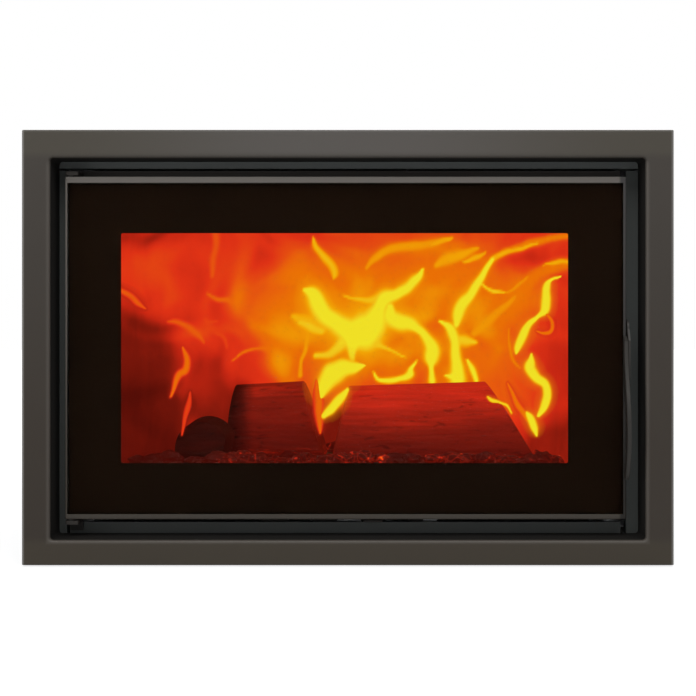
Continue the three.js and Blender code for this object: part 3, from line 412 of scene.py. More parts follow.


# ---- Logs ---------------------------------------------------------------------------------------
# Three split logs lie burning on the grate. They are charred almost black and glow dark red towards
# the top, partly their own burning and partly painted firelight from the flames, and hold a line of
# embers where they meet the bed.
char = Finish(bpy.data.materials.new("charred_wood"))
here = char.here()
along = char.noise(char.stretched(here, (9, 60, 60)), 1.0, 4.0, 0.4)
streak = char.noise(char.stretched(here, (14, 210, 210)), 1.0, 3.0, 0.2)
bark = char.noise(char.stretched(here, (55, 190, 190)), 1.0, 5.0, 0.6)
check = char.band(bark, 0.40, 0.33)
height = char.axis(here, "Z")
across = char.axis(here, "X")
# Painted firelight with the wood's own glow: brighter towards the top, dimmer on the left log.
climb = char.band(height, 0.100, 0.205)
lit = char.band(across, -0.165, -0.13)
front = char.band(across, -0.05, -0.02)
heat = 0.03 + lit * (0.12 + climb * 0.13) + front * (0.01 + climb * 0.07)
heat = heat + (along - 0.5) * 0.13 * (climb * lit + 0.3) + (streak - 0.5) * 0.08 - check * 0.05
ember_line = char.band(bark, 0.56, 0.66) * char.band(height, 0.124, 0.104) * lit
charred_wood = char.principled(
    Base_Color=char.mix(along, (0.004, 0.0012, 0.0008), (0.012, 0.0030, 0.0018)),
    Roughness=0.8 + along * 0.15,
    Specular_IOR_Level=0.05,
    Emission_Color=char.ramp(heat + ember_line * 0.22, fire_colours),
    Emission_Strength=1.0,
    Normal=char.bump(along * 0.7 + streak * 0.4 + bark * 0.8, 0.0040, 1.0),
)
painted_on(charred_wood, "log_main", "log_rear", "log_left")


# ---- Ember bed ----------------------------------------------------------------------------------
# Broken charcoal lies on the grate and hearth in front of the logs and between them. Each lump
# is rough and nearly black, and glows in its cracks and pits.
def on_floor(made, centre, radius, seed, squat=0.62):
    lump = bmesh.ops.create_icosphere(made, subdivisions=3 if radius > 0.0075 else 2, radius=radius)
    turn = Matrix.Rotation(seed * 1.7, 3, "Z")
    lowest = 0.0
    for vert in lump["verts"]:
        away = vert.co.normalized()
        rough = noise.noise(away * 1.6 + Vector((seed * 3.1, 0, 0))) * 0.45
        rough += noise.noise(away * 4.5 + Vector((0, seed * 2.3, 0))) * 0.16
        vert.co = turn @ Vector((away.x * 1.35, away.y, away.z * squat)) * radius * (1 + rough)
        lowest = min(lowest, vert.co.z)
    for vert in lump["verts"]:
        vert.co += Vector((centre[0], centre[1], centre[2] - lowest))


coal = Finish(bpy.data.materials.new("glowing_charcoal"))
here = coal.here()
crust = coal.noise(here, 95.0, 4.0, 0.5)
vein = coal.node(
    "TexVoronoi", {"feature": "DISTANCE_TO_EDGE"}, {"Vector": here, "Scale": 85.0}, "Distance"
)
hot_side = coal.band(coal.axis(here, "X"), -0.26, 0.10)
patch = coal.noise(here, 14.0, 2.0)
live = coal.band(vein, 0.14, 0.0) * 0.20 + coal.band(crust, 0.56, 0.76) * 0.75
coal_heat = 0.05 + patch * 0.10 + live * (0.22 + hot_side * 0.42) * coal.band(patch, 0.36, 0.60)
glowing_charcoal = coal.principled(
    Base_Color=coal.mix(crust, (0.004, 0.0014, 0.0010), (0.014, 0.0050, 0.0034)),
    Roughness=0.85 + crust * 0.1,
    Specular_IOR_Level=0.05,
    Emission_Color=coal.ramp(coal_heat, fire_colours),
    Emission_Strength=1.0,
    Normal=coal.bump(crust, 0.0025, 0.9),
)
hearth_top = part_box("grate")[1].z
log_boxes = [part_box(name) for name in ("log_main", "log_rear", "log_left")]
coal_count = 430
upper_coal_count = 90
nowhere = Vector((9.0, 9.0))
chance = random.Random(7)
coals = bmesh.new()
placed = []
while len(placed) < coal_count:
    radius = chance.uniform(0.0035, 0.0115)
    spot = Vector((chance.uniform(-0.275, 0.275), chance.uniform(-0.148, 0.105)))
    in_log = any(
        low.x - radius * 1.2 < spot.x < high.x + radius * 1.2
        and low.y - radius * 1.1 < spot.y < high.y + radius * 1.1
        for low, high in log_boxes
    )
    if in_log or any((spot - other).length < (radius + size) * 1.02 for other, size in placed):
        if chance.random() < 0.02:
            placed.append((nowhere, 0.0))
        continue
    placed.append((spot, radius))
    on_floor(coals, (spot.x, spot.y, hearth_top), radius, len(placed))
for number in range(upper_coal_count):
    radius = chance.uniform(0.006, 0.011)
    spot = (chance.uniform(-0.27, 0.27), chance.uniform(-0.126, -0.106))
    on_floor(coals, (*spot, hearth_top + chance.uniform(0.006, 0.012)), radius, 500 + number)
from_bmesh("ember_bed", coals, glowing_charcoal, "insert")


# ---- Fire ---------------------------------------------------------------------------------------
# Burning gas fills the firebox. One sheet of flame is drawn up along the brick lining and stands
# out in ridges where it burns hottest, and twelve smaller ones lick up before it. Their sway comes
# from noise_vector, which takes its offsets from the clock unless it is seeded.
noise.seed_set(7)
window_low = Vector((-0.2763, 0, 0.1205))
window_high = Vector((0.2672, 0, 0.4001))
glass_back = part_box("door_glass")[1].y
log_top = max(high.z for _, high in log_boxes)


def behind_window(across, up, depth):
    """Where something stands that is seen at this place of the window, in hundredths of its
    width and height, and lies this far behind the glass."""
    on_glass = Vector((
        window_low.x + (window_high.x - window_low.x) * across / 100,
        glass_back,
        window_low.z + (window_high.z - window_low.z) * up / 100,
    ))
    eye = Vector((eye_right, trim_low.y - eye_distance, eye_height))
    return eye + (on_glass - eye) * ((glass_back + depth - eye.y) / (glass_back - eye.y))


def between(value, low, high):
    part = max(0.0, min(1.0, (value - low) / (high - low)))
    return part * part * (3 - 2 * part)


def through_points(points, steps):
    """A smooth line through points, as an even run of steps along it."""
    line = []
    for step in range(steps + 1):
        along = step / steps * (len(points) - 1)
        first = min(int(along), len(points) - 2)
        part = along - first
        before = points[max(first - 1, 0)]
        start, end = points[first], points[first + 1]
        after = points[min(first + 2, len(points) - 1)]
        line.append([
            0.5 * (2 * b + (c - a) * part + (2 * a - 5 * b + 4 * c - d) * part ** 2
                   + (3 * b - a - 3 * c + d) * part ** 3)
            for a, b, c, d in zip(before, start, end, after)
        ])
    return line


per_across = (window_high.x - window_low.x) * 10
per_up = (window_high.z - window_low.z) * 10
halo_reach = 3.4
out_of_reach = 9.0


class Flame:
    """A flame along a spine of (across, up, half its width in mm)."""

    def __init__(self, heat, spine):
        self.heat = heat
        self.line = [
            (across * per_across, up * per_up, max(half, 0.6))
            for across, up, half in through_points(spine, 6 * (len(spine) - 1))
        ]
        reach = halo_reach * max(half for _, _, half in self.line)
        self.low = [min(point[axis] for point in self.line) - reach for axis in (0, 1)]
        self.high = [max(point[axis] for point in self.line) + reach for axis in (0, 1)]

    def away(self, x, z):
        """How far a place in mm is from the spine, in parts of the flame's half width."""
        if not (self.low[0] < x < self.high[0] and self.low[1] < z < self.high[1]):
            return out_of_reach
        nearest = out_of_reach
        for (ax, az, a_half), (bx, bz, b_half) in zip(self.line, self.line[1:]):
            along_x, along_z = bx - ax, bz - az
            part = ((x - ax) * along_x + (z - az) * along_z) / (along_x ** 2 + along_z ** 2 + 1e-9)
            part = max(0.0, min(1.0, part))
            half = a_half + (b_half - a_half) * part
            gap = math.hypot(x - ax - along_x * part, z - az - along_z * part)
            nearest = min(nearest, gap / half)
        return nearest


def swell(across, up, centre, reach, gain):
    """A soft hill of heat, which falls away from its centre over its reach."""
    far = ((across - centre[0]) / reach[0]) ** 2 + ((up - centre[1]) / reach[1]) ** 2
    return gain * math.exp(-far)


def smother(heat, across, up, centre, reach, cooler):
    """The heat with a cooler mass in it, which has a clear edge at its reach."""
    far = abs((across - centre[0]) / reach[0]) ** 2.6 + abs((up - centre[1]) / reach[1]) ** 2.6
    return heat + (cooler - heat) / (1 + far ** 5)


# A centre and a reach in hundredths of the window, and the heat gained or, further down, left.
hot_places = [
    ((77, 58), (15, 38), 0.13),
    ((63, 80), (17, 16), 0.155),
    ((47, 56), (11, 24), 0.155),
    ((40, 60), (6, 9), 0.11),
    ((35, 64), (8, 15), 0.13),
    ((40, 82), (5, 10), 0.12),
    ((90, 73), (8, 11), 0.10),
    ((62, 44), (14, 12), 0.15),
    ((64, 66), (6, 7), 0.13),
    ((79, 62), (5, 12), 0.10),
    ((27, 78), (2.6, 11), 0.15),
    ((38.3, 41), (3, 9), 0.20),
    ((52, 84), (7, 8), 0.06),
    ((87, 42), (7, 25), 0.07),
    ((74, 94), (12, 5), 0.12),
    ((10, 84), (12, 9), 0.03),
    ((25.6, 53), (4, 5), -0.05),
    ((31, 43), (6, 7), -0.02),
    ((91, 89), (8, 5), -0.10),
    ((98, 50), (5, 38), -0.08),
    ((5, 99), (13, 6), -0.14),
    ((35, 95), (6, 12), -0.03),
    ((97, 4), (10, 15), -0.20),
]
dark_places = [
    ((0, 18), (13.8, 50), 0.255),
    ((0, 2), (17, 33), 0.19),
    ((19.3, 16), (5.8, 31), 0.30),
    ((25, 14), (6, 22), 0.27),
    ((48, 0), (4.5, 26), 0.24),
    ((98, -4), (9, 19), 0.29),
]


def background_heat(across, up):
    swirl = noise.noise_vector(Vector((across * 0.055, up * 0.042, 3.0)))
    wisp = noise.noise(Vector((across * 0.09 + swirl.x * 2.2, up * 0.05 + swirl.z * 1.6, 7.0)))
    fine = noise.noise(Vector((across * 0.23 + swirl.x * 3.0, up * 0.07 + swirl.z * 2.4, 2.0)))
    heat = 0.475 + wisp * 0.07 + fine * 0.035
    for centre, reach, gain in hot_places:
        heat += swell(across + swirl.x * 5, up + swirl.z * 6, centre, reach, gain)
    place = (across + swirl.x * 1.0 + fine * 0.8, up + swirl.z * 2.0 + fine * 2.0)
    for centre, reach, cooler in dark_places:
        heat = smother(heat, *place, centre, reach, cooler + wisp * 0.05)
    return heat


yellow, amber = 1.04, 0.84
rear_flames = [
    Flame(yellow, [
        (40.7, 75.1, 1.5), (42.8, 73.1, 8), (44.1, 67.9, 10), (45.6, 64, 11), (48.3, 61, 12),
        (51.2, 57.9, 15), (54.4, 57.9, 18)]),
    Flame(yellow, [
        (54.4, 57, 19), (56.6, 60.5, 16), (57.7, 66.6, 10), (58.8, 70.9, 9), (61.5, 73.5, 6.5),
        (64.2, 77.4, 6), (66.4, 81.8, 4), (67.3, 85.2, 1.2)]),
    Flame(yellow, [(51.5, 43.2, 2.5), (51.6, 47.5, 4), (51.8, 51.8, 7), (52.1, 55.3, 11)]),
    Flame(0.94, [(43.6, 46.6, 3), (46.8, 47, 5), (48.6, 49.2, 6), (49.9, 52.7, 7)]),
    Flame(0.90, [(56.5, 53, 6), (58.6, 50.6, 3), (61, 48.6, 1.8), (64.2, 46.4, 1)]),
    Flame(0.88, [(49.7, 73.5, 1), (52.6, 71.4, 2), (54.8, 70.9, 3), (57, 70.9, 5)]),
    Flame(yellow, [
        (69.3, 35.5, 4), (69.3, 41.4, 3), (69.5, 45.8, 7), (69.8, 50.1, 7), (68.6, 54.4, 5),
        (66.9, 57.9, 4.5), (64.6, 60.5, 8), (62.4, 60.8, 9), (60.6, 63.1, 7), (60.2, 67.5, 3)]),
    Flame(yellow, [
        (75.1, 35.5, 9), (75.1, 41.4, 6.5), (74.9, 47.5, 5.5), (74.7, 52.7, 5), (73.8, 57, 5),
        (72.7, 59.7, 3), (71.1, 61.8, 1)]),
    Flame(yellow, [(72.2, 37.5, 1), (74, 37.1, 3.5)]),
    Flame(yellow, [
        (74.7, 59.7, 3), (75.1, 64, 6.5), (76.2, 69.2, 6.5), (78, 73.5, 5), (79.8, 78.7, 4),
        (81.6, 84.4, 3), (83.4, 88.7, 2.2)]),
    Flame(amber, [(83.4, 88.7, 3), (86.1, 91.8, 3.5), (89.2, 93.5, 3), (93, 95.5, 2)]),
    Flame(0.92, [(80, 79.2, 1), (81.6, 76.6, 1.8), (83.6, 75, 2.2), (85.6, 74.8, 1)]),
    Flame(0.76, [(85, 74.8, 1.2), (87.4, 75.3, 1.6), (89.2, 77.9, 1.8), (91, 81.3, 1)]),
    Flame(0.92, [(75.4, 53.2, 5), (77, 52.7, 6), (79.4, 52.9, 2)]),
    Flame(0.76, [(78.9, 56.2, 3), (82, 61.4, 5), (84.7, 66.6, 4), (88, 72, 1.5)]),
    Flame(yellow, [(79.4, 36, 3), (78.7, 39.7, 3.5), (78, 42.3, 2.5), (77.3, 44.9, 1)]),
    Flame(yellow, [
        (56.4, 39.3, 1), (57.3, 36.2, 2), (59.3, 35.7, 3), (61.5, 36, 3), (63.7, 37.1, 3.2),
        (64.8, 38.8, 3.6), (65.1, 41.4, 2), (66.2, 44.5, 1)]),
    Flame(0.72, [(86.5, 57.9, 1), (87.2, 50, 1.6), (88, 44, 1.8), (89.4, 40.5, 1)]),
    Flame(0.78, [
        (55.2, 84.8, 2), (57.9, 90.9, 5), (61.5, 93.9, 6), (66.9, 94.8, 5), (71.3, 96.5, 4),
        (74, 98.3, 2)]),
    Flame(0.82, [(69, 94.5, 1), (71.5, 96.4, 2), (74, 98.2, 1.5)]),
    Flame(0.80, [(70.5, 87, 3), (73, 89.2, 7), (76, 90.5, 6), (80, 93.5, 2)]),
    Flame(0.84, [(76.7, 87.6, 1.5), (79.4, 89.2, 3), (81.8, 91.6, 1.5)]),
    Flame(0.70, [(86, 92.5, 3), (91, 95.5, 5), (96, 97.5, 5), (101, 99, 4)]),
    Flame(0.68, [
        (84, 66, 4), (87.5, 72.5, 7), (91.5, 79, 9), (95.5, 83.5, 8), (101, 86.5, 7)]),
    Flame(0.84, [(94.6, 85.4, 1), (97.2, 86.6, 2.4), (100.5, 87.2, 2.4)]),
    Flame(0.86, [
        (43.2, 97.8, 1), (43.6, 93.9, 3.5), (45, 90.9, 4.5), (46.8, 87.4, 5), (47.9, 83.9, 5),
        (47.7, 81.3, 1.5)]),
    Flame(0.90, [(40, 60.2, 3), (42.4, 58.6, 6), (44.6, 57.4, 4)]),
    Flame(0.84, [(38.5, 63, 3), (41, 61, 8), (44, 60, 8)]),
    Flame(0.78, [
        (39.6, 38, 3), (39.8, 43.6, 2), (41, 49, 2.4), (41.6, 54.4, 2), (41.6, 60.8, 1)]),
    Flame(0.66, [
        (24.9, 44.9, 1), (28.2, 49.2, 2), (32.3, 50.1, 2.6), (34.9, 48.4, 4), (36.7, 43.2, 6),
        (37.5, 35.4, 8)]),
    Flame(0.58, [(20.4, 81.2, 2.5), (20.8, 87.9, 4), (21.3, 94.6, 4), (21, 101, 4)]),
    Flame(0.62, [(19.3, 74, 1.2), (21.5, 71.4, 3), (24.2, 70.1, 3), (26.9, 65.7, 1.2)]),
    Flame(0.60, [
        (10.5, 61.6, 1.5), (12.2, 61.2, 3), (14.8, 58.8, 4), (17.1, 55.3, 4), (18.6, 51.4, 1.5)]),
    Flame(0.53, [(18.6, 63, 1), (19.5, 61.4, 1.8), (21.4, 61.6, 1)]),
    Flame(0.53, [(21, 56.4, 1), (23, 55, 2.2), (24, 51, 1.6)]),
]
front_flames = [
    (Flame(0.60, [(-0.5, 75.4, 3), (2.3, 71.8, 3.6), (3.7, 69.6, 3.4), (5.6, 67.4, 1.2)]), 0.075),
    (Flame(yellow, [
        (44.5, 28.4, 2), (45.2, 32.8, 8), (47.2, 38, 11), (49.4, 40.6, 9), (52.1, 41.4, 6),
        (54.4, 42.7, 1.2)]), 0.100),
    (Flame(yellow, [
        (45.4, 20.6, 3), (47.2, 24.1, 5), (49, 27.5, 5), (50.6, 31.9, 2)]), 0.095),
    (Flame(0.64, [
        (44.7, 13.2, 1.4), (44.4, 18, 4), (44.2, 25, 5), (43.8, 31, 4), (43.6, 36, 1)]), 0.102),
    (Flame(yellow, [
        (88.7, 47.1, 1), (89, 50.1, 4), (90.1, 55.3, 5), (91.4, 59.7, 3.6), (93.2, 63.1, 2.2),
        (94.8, 65.7, 4), (95.1, 70.9, 4.6), (95.4, 76.1, 4), (96.3, 79.2, 1.6),
        (99, 81.3, 1)]), 0.115),
    (Flame(0.68, [
        (95, 64.9, 2), (96.5, 61.4, 2.4), (96.5, 57.9, 2.4), (94.8, 56.2, 2), (93.2, 57, 1)]), 0.120),
    (Flame(yellow, [
        (93.4, 20.6, 1.6), (94.8, 25.8, 4), (95.4, 30.2, 4.4), (94.8, 34.5, 4.4), (92.8, 37.1, 5),
        (91.6, 40.6, 6), (92.1, 44, 3.4), (92.1, 46.6, 1)]), 0.110),
    (Flame(yellow, [
        (92.8, 11.5, 1.2), (92.3, 15.4, 4), (91.6, 19.7, 4), (91, 21.5, 1.6)]), 0.105),
    (Flame(0.98, [
        (82.3, 29.3, 1), (83.2, 27.5, 2.2), (84.7, 26.7, 1.6), (86.5, 24.9, 1.4),
        (87.6, 21.5, 1)]), 0.118),
    (Flame(0.68, [
        (86.7, 34.5, 1), (88.3, 27.5, 3), (90.5, 20.6, 3.4), (92, 16, 2)]), 0.122),
    (Flame(0.66, [
        (11, 29.3, 1.2), (12.6, 38, 4), (14.2, 40.6, 4.6), (14.6, 44.9, 3.4), (13.7, 50.1, 1)]), 0.100),
    (Flame(0.52, [
        (13.4, 12.4, 1), (14.4, 19, 2.6), (15, 24.5, 3.6), (15.3, 31, 1.2)]), 0.090),
]


gas = Finish(bpy.data.materials.new("burning_gas"))
here = gas.here()
heat = gas.node("Attribute", {"attribute_name": "burn"}, {}, "Fac")
cover = gas.node("Attribute", {"attribute_name": "cover"}, {}, "Fac")
curl = gas.noise(gas.stretched(here, (30, 30, 13)), 1.0, 4.0, 1.2)
burning_gas = gas.principled(
    Base_Color=(0, 0, 0),
    Roughness=1.0,
    Specular_IOR_Level=0.0,
    Emission_Color=gas.ramp(heat + (curl - 0.5) * 0.05, fire_colours),
    Emission_Strength=1.0,
    Alpha=cover,
)


def gas_sheet(name, rows):
    """A sheet through rows of (place, heat, cover), left out where nothing burns."""
    wide = len(rows[0])
    flat = [point for row in rows for point in row]
    faces = []
    for row in range(len(rows) - 1):
        for column in range(wide - 1):
            first = row * wide + column
            corners = (first, first + 1, first + wide + 1, first + wide)
            if max(flat[corner][2] for corner in corners) > 0.01:
                faces.append(corners)
    used = sorted({corner for face in faces for corner in face})
    place_of = {corner: index for index, corner in enumerate(used)}
    mesh = bpy.data.meshes.new(name)
    mesh.from_pydata(
        [flat[corner][0] for corner in used], [],
        [tuple(place_of[corner] for corner in face) for face in faces],
    )
    for title, column in (("burn", 1), ("cover", 2)):
        values = mesh.attributes.new(title, "FLOAT", "POINT")
        values.data.foreach_set("value", [flat[corner][column] for corner in used])
    for face in mesh.polygons:
        face.use_smooth = True
    mesh.materials.append(burning_gas)
    piece = bpy.data.objects.new(name, mesh)
    bpy.context.scene.collection.objects.link(piece)
    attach(piece, "insert")


def flicker(across, up):
    """A place in mm, shaken as flames are."""
    x, z = across * per_across, up * per_up
    slow = noise.noise_vector(Vector((x / 44, z / 60, 5.0)))
    quick = noise.noise_vector(Vector((x / 13, z / 22, 9.0)))
    return x + slow.x * 3.2 + quick.x * 1.5, z + slow.z * 4 + quick.z * 1.5


curtain_depth = 0.300
curtain_wrap = 0.215
curtain_ripple = 0.008
ridge_rise = 0.075
lining_side = 0.2935
baffle_underside = 0.4175
curtain_columns, curtain_rows = 300, 150
curtain = []
for step_up in range(curtain_rows + 1):
    up = -14 + 126 * step_up / curtain_rows
    row = []
    for step_across in range(curtain_columns + 1):
        across = -3 + 106 * step_across / curtain_columns
        edge = abs(across - 50) / 50
        depth = curtain_depth - curtain_wrap * max(0.0, edge - 0.55) ** 1.6 / 0.45 ** 1.6
        depth += curtain_ripple * math.sin(across * 0.33 + up * 0.05) * (1 - edge ** 4)
        x, z = flicker(across, up)
        heat = background_heat(across, up)
        ridge = 0.0
        for flame in rear_flames:
            away = flame.away(x, z)
            if away > halo_reach:
                continue
            core = math.exp(-(away / 1.08) ** 3.0)
            halo = math.exp(-(away / 1.9) ** 1.8)
            heat += max(0.0, flame.heat - 0.20 - heat) * 0.52 * halo
            heat += max(0.0, flame.heat - heat) * core
            ridge = max(ridge, halo * between(flame.heat, 0.5, 1.0))
        clear = behind_window(across, up, depth).z - log_top
        depth -= ridge_rise * ridge * between(clear, 0.004, 0.050) * (1 - min(1.0, edge) ** 4)
        place = behind_window(across, up, depth)
        place.x = max(-lining_side, min(lining_side, place.x))
        place.z = max(hearth_top + 0.001, min(baffle_underside, place.z))
        row.append((place, heat, 1.0))
    curtain.append(row)
gas_sheet("fire_curtain", curtain)

lick_reach = 3.2
lick_swell = 0.012
for number, (flame, depth) in enumerate(front_flames):
    low_across = flame.low[0] / per_across
    low_up = flame.low[1] / per_up
    high_across = flame.high[0] / per_across
    high_up = flame.high[1] / per_up
    many_across = 6 + int((high_across - low_across) * per_across / 1.6)
    many_up = 6 + int((high_up - low_up) * per_up / 1.8)
    licks = []
    for step_up in range(many_up + 1):
        up = low_up + (high_up - low_up) * step_up / many_up
        row = []
        for step_across in range(many_across + 1):
            across = low_across + (high_across - low_across) * step_across / many_across
            x, z = flicker(across, up)
            away = flame.away(x, z)
            core = math.exp(-(away / 1.15) ** 3.2)
            halo = math.exp(-(away / 2.0) ** 1.7)
            heat = flame.heat - 0.30 * (1 - core)
            cover = min(1.0, core * 1.15 + halo * 0.55) if away < lick_reach else 0.0
            shown = -3 < across < 103 and -8 < up < 108
            place = behind_window(across, up, depth - lick_swell * core)
            row.append((place, heat, cover if shown else 0.0))
        licks.append(row)
    gas_sheet(f"flame_{number}", licks)


# ---- Fixed front members ------------------------------------------------------------------------
# Folded sheet round the door: the air outlet fascia above it, a jamb at each side and the plinth
# below. All have a smooth blue-grey satin stove paint; the fascia's is a tone lighter, which is
# painted light for the light it catches from above.
blue_grey = stove_enamel("body_paint", (0.055, 0.059, 0.056), (0.068, 0.073, 0.068), 0.38, 0.35)
painted_on(blue_grey, "jamb_left", "jamb_right", "bottom_plinth")
# Painted light: the fascia is a tone lighter than the jambs, for the light from above.
fascia_painted_light_grey = stove_enamel("fascia_paint_lit", (0.100, 0.107, 0.104), (0.124, 0.133, 0.127), 0.38, 0.35)
painted_on(fascia_painted_light_grey, "top_fascia")


# ---- Trim frame ---------------------------------------------------------------------------------
# The surround that covers the gap to the masonry: one sheet-steel frame with mitred corners, its
# edges rolled round, in warm grey satin paint. Light and shade are painted into it: painted
# highlights along the lip and the outer edge, a painted reflection along the top rail's middle,
# lighter towards the top, darker on the bottom rail, and near-black in the inner return, a black
# return that is also painted shade for the recess.
opening_height = 0.26025
opening_half_width, opening_half_height = 0.3565, 0.22875
return_sides = (0.362, 0.359)
return_ends = (0.2345, 0.2325)
outer_edge = (0.3864, 0.3878)
trim = Finish(bpy.data.materials.new("trim_paint"))
here = trim.here()
cloud = trim.noise(here, 7.0, 3.0)
speck = trim.noise(here, 650.0, 2.0)
# The inner return of the opening is near-black: a black return, and painted shade for the recess.
behind = trim.band(trim.axis(here, "Y"), trim_low.y + 0.0030, trim_low.y + 0.0055)
opening_middle = ((trim_low.x + trim_high.x) / 2, 0, opening_height)
centred = trim.node("VectorMath", {"operation": "SUBTRACT"}, {0: here, 1: opening_middle})
apart = trim.node("VectorMath", {"operation": "ABSOLUTE"}, {0: centred})
out = trim.axis(apart, "X")
up = trim.axis(apart, "Z")
return_painted_shade = behind * (trim.band(out, *return_sides) * trim.band(up, *return_ends))
height = trim.axis(here, "Z")
# Painted light and shade: the face is darker low down and lighter high up, for light from above.
painted_shade_tone = trim.mix(cloud * 0.8 + speck * 0.2, (0.026, 0.0200, 0.0148), (0.034, 0.0270, 0.0205))
painted_light_tone = trim.mix(cloud * 0.8 + speck * 0.2, (0.034, 0.0290, 0.0240), (0.044, 0.0380, 0.0320))
# Painted reflection: the top rail is lighter in its middle, for the light above it.
rail_painted_reflection = trim.mix(trim.band(out, 0.36, 0.05), (0.050, 0.0440, 0.0345), (0.070, 0.0635, 0.0570))
side_painted_light = trim.mix(trim.band(height, 0.10, 0.50), painted_shade_tone, painted_light_tone)
face_tone_painted_light = trim.mix(trim.band(height, 0.486, 0.498), side_painted_light, rail_painted_reflection)
# Painted shade: the bottom rail is darker.
foot_rail_painted_shade = trim.band(height, 0.036, 0.026)
face_tone_painted_light = trim.mix(foot_rail_painted_shade * 0.8, face_tone_painted_light, (0.040, 0.0325, 0.0225))
# Painted highlight along the outer edge.
edge_painted_highlight = trim.band(out, *outer_edge)
face_tone_painted_light = trim.mix(edge_painted_highlight, face_tone_painted_light, (0.125, 0.118, 0.107))
from_sides = out - opening_half_width
from_ends = up - opening_half_height
from_opening = trim.node("Math", {"operation": "MAXIMUM"}, {0: from_sides, 1: from_ends})
# Painted highlight along the rolled lip of the opening, left out at the top.
lip_painted_highlight = trim.band(from_opening, 0.0058, 0.0014) * trim.band(height, 0.488, 0.478)
face_tone_painted_light = trim.mix(lip_painted_highlight * 0.5, face_tone_painted_light, (0.086, 0.076, 0.066))
trim_paint = trim.principled(
    Base_Color=trim.mix(return_painted_shade, face_tone_painted_light, (0.0032, 0.0024, 0.0016)),
    Roughness=0.36 + cloud * 0.06 + speck * 0.06 + return_painted_shade * 0.4,
    Specular_IOR_Level=0.2,
    Normal=trim.bump(speck, 0.0002, 0.14),
)
painted_on(trim_paint, "trim_frame")


# ---- Door ---------------------------------------------------------------------------------------
# A slim folded steel frame round one pane of clear ceramic glass. A black enamel border is fired
# on the inside of the glass, and the frame behind holds it on a flat tape with a rope seal.
door_low, door_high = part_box("door_frame")
satin = Finish(bpy.data.materials.new("door_paint"))
here = satin.here()
cloud = satin.noise(here, 7.0, 3.0)
speck = satin.noise(here, 650.0, 2.0)
height = satin.axis(here, "Z")
at_side = satin.band(satin.axis(here, "X"), door_high.x - 0.0100, door_high.x - 0.0060)
climb = satin.band(height, door_low.z + 0.02, door_high.z - 0.02)
# Painted light and shade: the frame is lighter towards the top, darker low down and at its right edge.
door_lip_painted_light = satin.mix(climb, (0.040, 0.034, 0.027), (0.112, 0.101, 0.090))
door_edge_painted_shade = satin.mix(climb, (0.008, 0.0065, 0.005), (0.036, 0.034, 0.033))
door_paint = satin.principled(
    Base_Color=satin.mix(at_side, door_lip_painted_light, door_edge_painted_shade),
    Roughness=0.34 + cloud * 0.08 + speck * 0.05,
    Specular_IOR_Level=0.2,
    Normal=satin.bump(speck, 0.0002, 0.12),
)
painted_on(door_paint, "door_frame")
painted_on(matt_black, "door_inner_frame")

braid = Finish(bpy.data.materials.new("rope_fibre"))
here = braid.here()
strand = braid.node("TexVoronoi", {"feature": "F1"}, {"Vector": here, "Scale": 520.0}, "Distance")
dust = braid.noise(here, 30.0, 3.0)
rope_fibre = braid.principled(
    Base_Color=braid.mix(strand * 0.8 + dust * 0.2, (0.075, 0.070, 0.062), (0.028, 0.026, 0.023)),
    Roughness=0.9,
    Specular_IOR_Level=0.15,
    Normal=braid.bump(strand, 0.0012, 0.8),
)
painted_on(rope_fibre, "door_seal", "glass_gasket")

pane = Finish(bpy.data.materials.new("ceramic_glass"))
here = pane.here()
film = pane.noise(here, 5.0, 3.0)
ceramic_glass = pane.principled(
    Base_Color=pane.mix(film, (0.96, 0.94, 0.92), (1.0, 0.99, 0.98)),
    Transmission_Weight=1.0,
    Roughness=0.0,
    IOR=1.02,
)
painted_on(ceramic_glass, "door_glass")

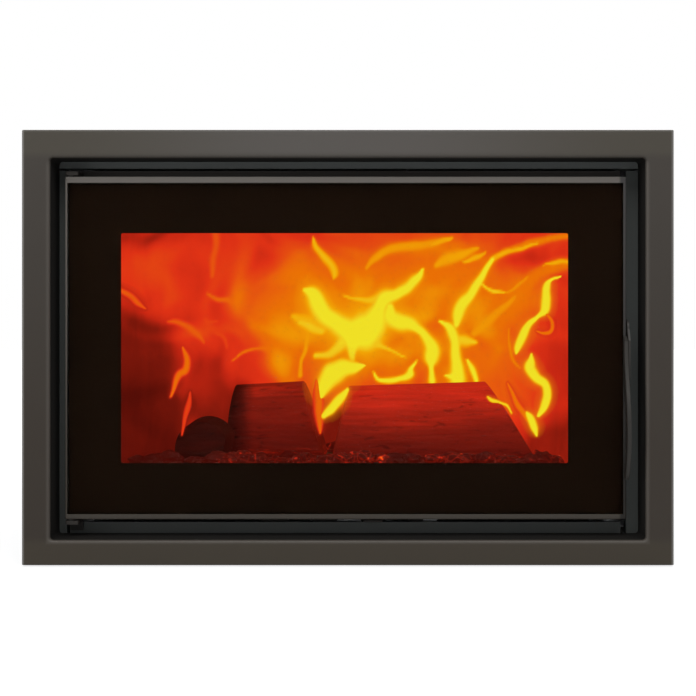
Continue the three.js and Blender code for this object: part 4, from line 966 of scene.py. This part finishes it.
frit = Finish(bpy.data.materials.new("enamel_border"))
here = frit.here()
enamel_border = frit.principled(
    Base_Color=frit.mix(
        frit.noise(here, 20.0, 3.0), (0.0040, 0.0018, 0.0006), (0.0068, 0.0034, 0.0014)
    ),
    Roughness=0.7,
    Specular_IOR_Level=0.02,
)
glass_low, glass_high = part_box("door_glass")
enamel_thickness = 0.00018
enamel_gap = 0.00004
enamel_inset = 0.001
glass_corner, window_corner = 0.003, 0.002
made = bmesh.new()
rings = []
for low_x, low_z, high_x, high_z, corner in (
    (glass_low.x + enamel_inset, glass_low.z + enamel_inset,
     glass_high.x - enamel_inset, glass_high.z - enamel_inset, glass_corner),
    (window_low.x, window_low.z, window_high.x, window_high.z, window_corner),
):
    outline = []
    for centre_x, centre_z, first in (
        (high_x - corner, high_z - corner, 0), (low_x + corner, high_z - corner, 90),
        (low_x + corner, low_z + corner, 180), (high_x - corner, low_z + corner, 270),
    ):
        for step in range(6):
            angle = math.radians(first + 18 * step)
            outline.append((centre_x + corner * math.cos(angle), centre_z + corner * math.sin(angle)))
    for layer in (0, 1):
        y = glass_back + enamel_gap + layer * enamel_thickness
        rings.append([made.verts.new((x, y, z)) for x, z in outline])
for first, second in ((0, 2), (1, 3), (0, 1), (2, 3)):
    count = len(rings[0])
    for step in range(count):
        after = (step + 1) % count
        made.faces.new((rings[first][step], rings[first][after], rings[second][after], rings[second][step]))
from_bmesh("glass_enamel", made, enamel_border, "door", smooth=False)


# ---- Hinges -------------------------------------------------------------------------------------
# Two folded steel leaves fixed to the shell, painted with it. A dark pin through each leaf carries
# the door's corner.
painted_on(matt_black, "hinge_bracket_top", "hinge_bracket_bottom")
painted_on(cast_iron, "hinge_pin_top", "hinge_pin_bottom")


# ---- Lever and latch ----------------------------------------------------------------------------
# The opening lever is one bowed bar of dark satin steel down the door's right edge. Swung out on
# its cross pin, it lowers a hooked plate from behind the catch pin.
bar = Finish(bpy.data.materials.new("lever_steel"))
here = bar.here()
rub = bar.noise(bar.stretched(here, (900, 900, 60)), 1.0, 2.0)
wear = bar.noise(here, 38.0, 3.0)
lever_steel = bar.principled(
    Base_Color=bar.mix(wear, (0.014, 0.0122, 0.0104), (0.028, 0.0245, 0.0210)),
    Metallic=0.2,
    Roughness=0.42 + rub * 0.14,
    Specular_IOR_Level=0.3,
    Normal=bar.bump(rub, 0.0001, 0.4),
)
painted_on(lever_steel, "handle_grip", "latch_plate", "handle_pivot_pin")


# ---- Air control --------------------------------------------------------------------------------
# The primary air slide: a slotted steel strip under the door with one folded tab to push.
painted_on(matt_black, "air_slider")
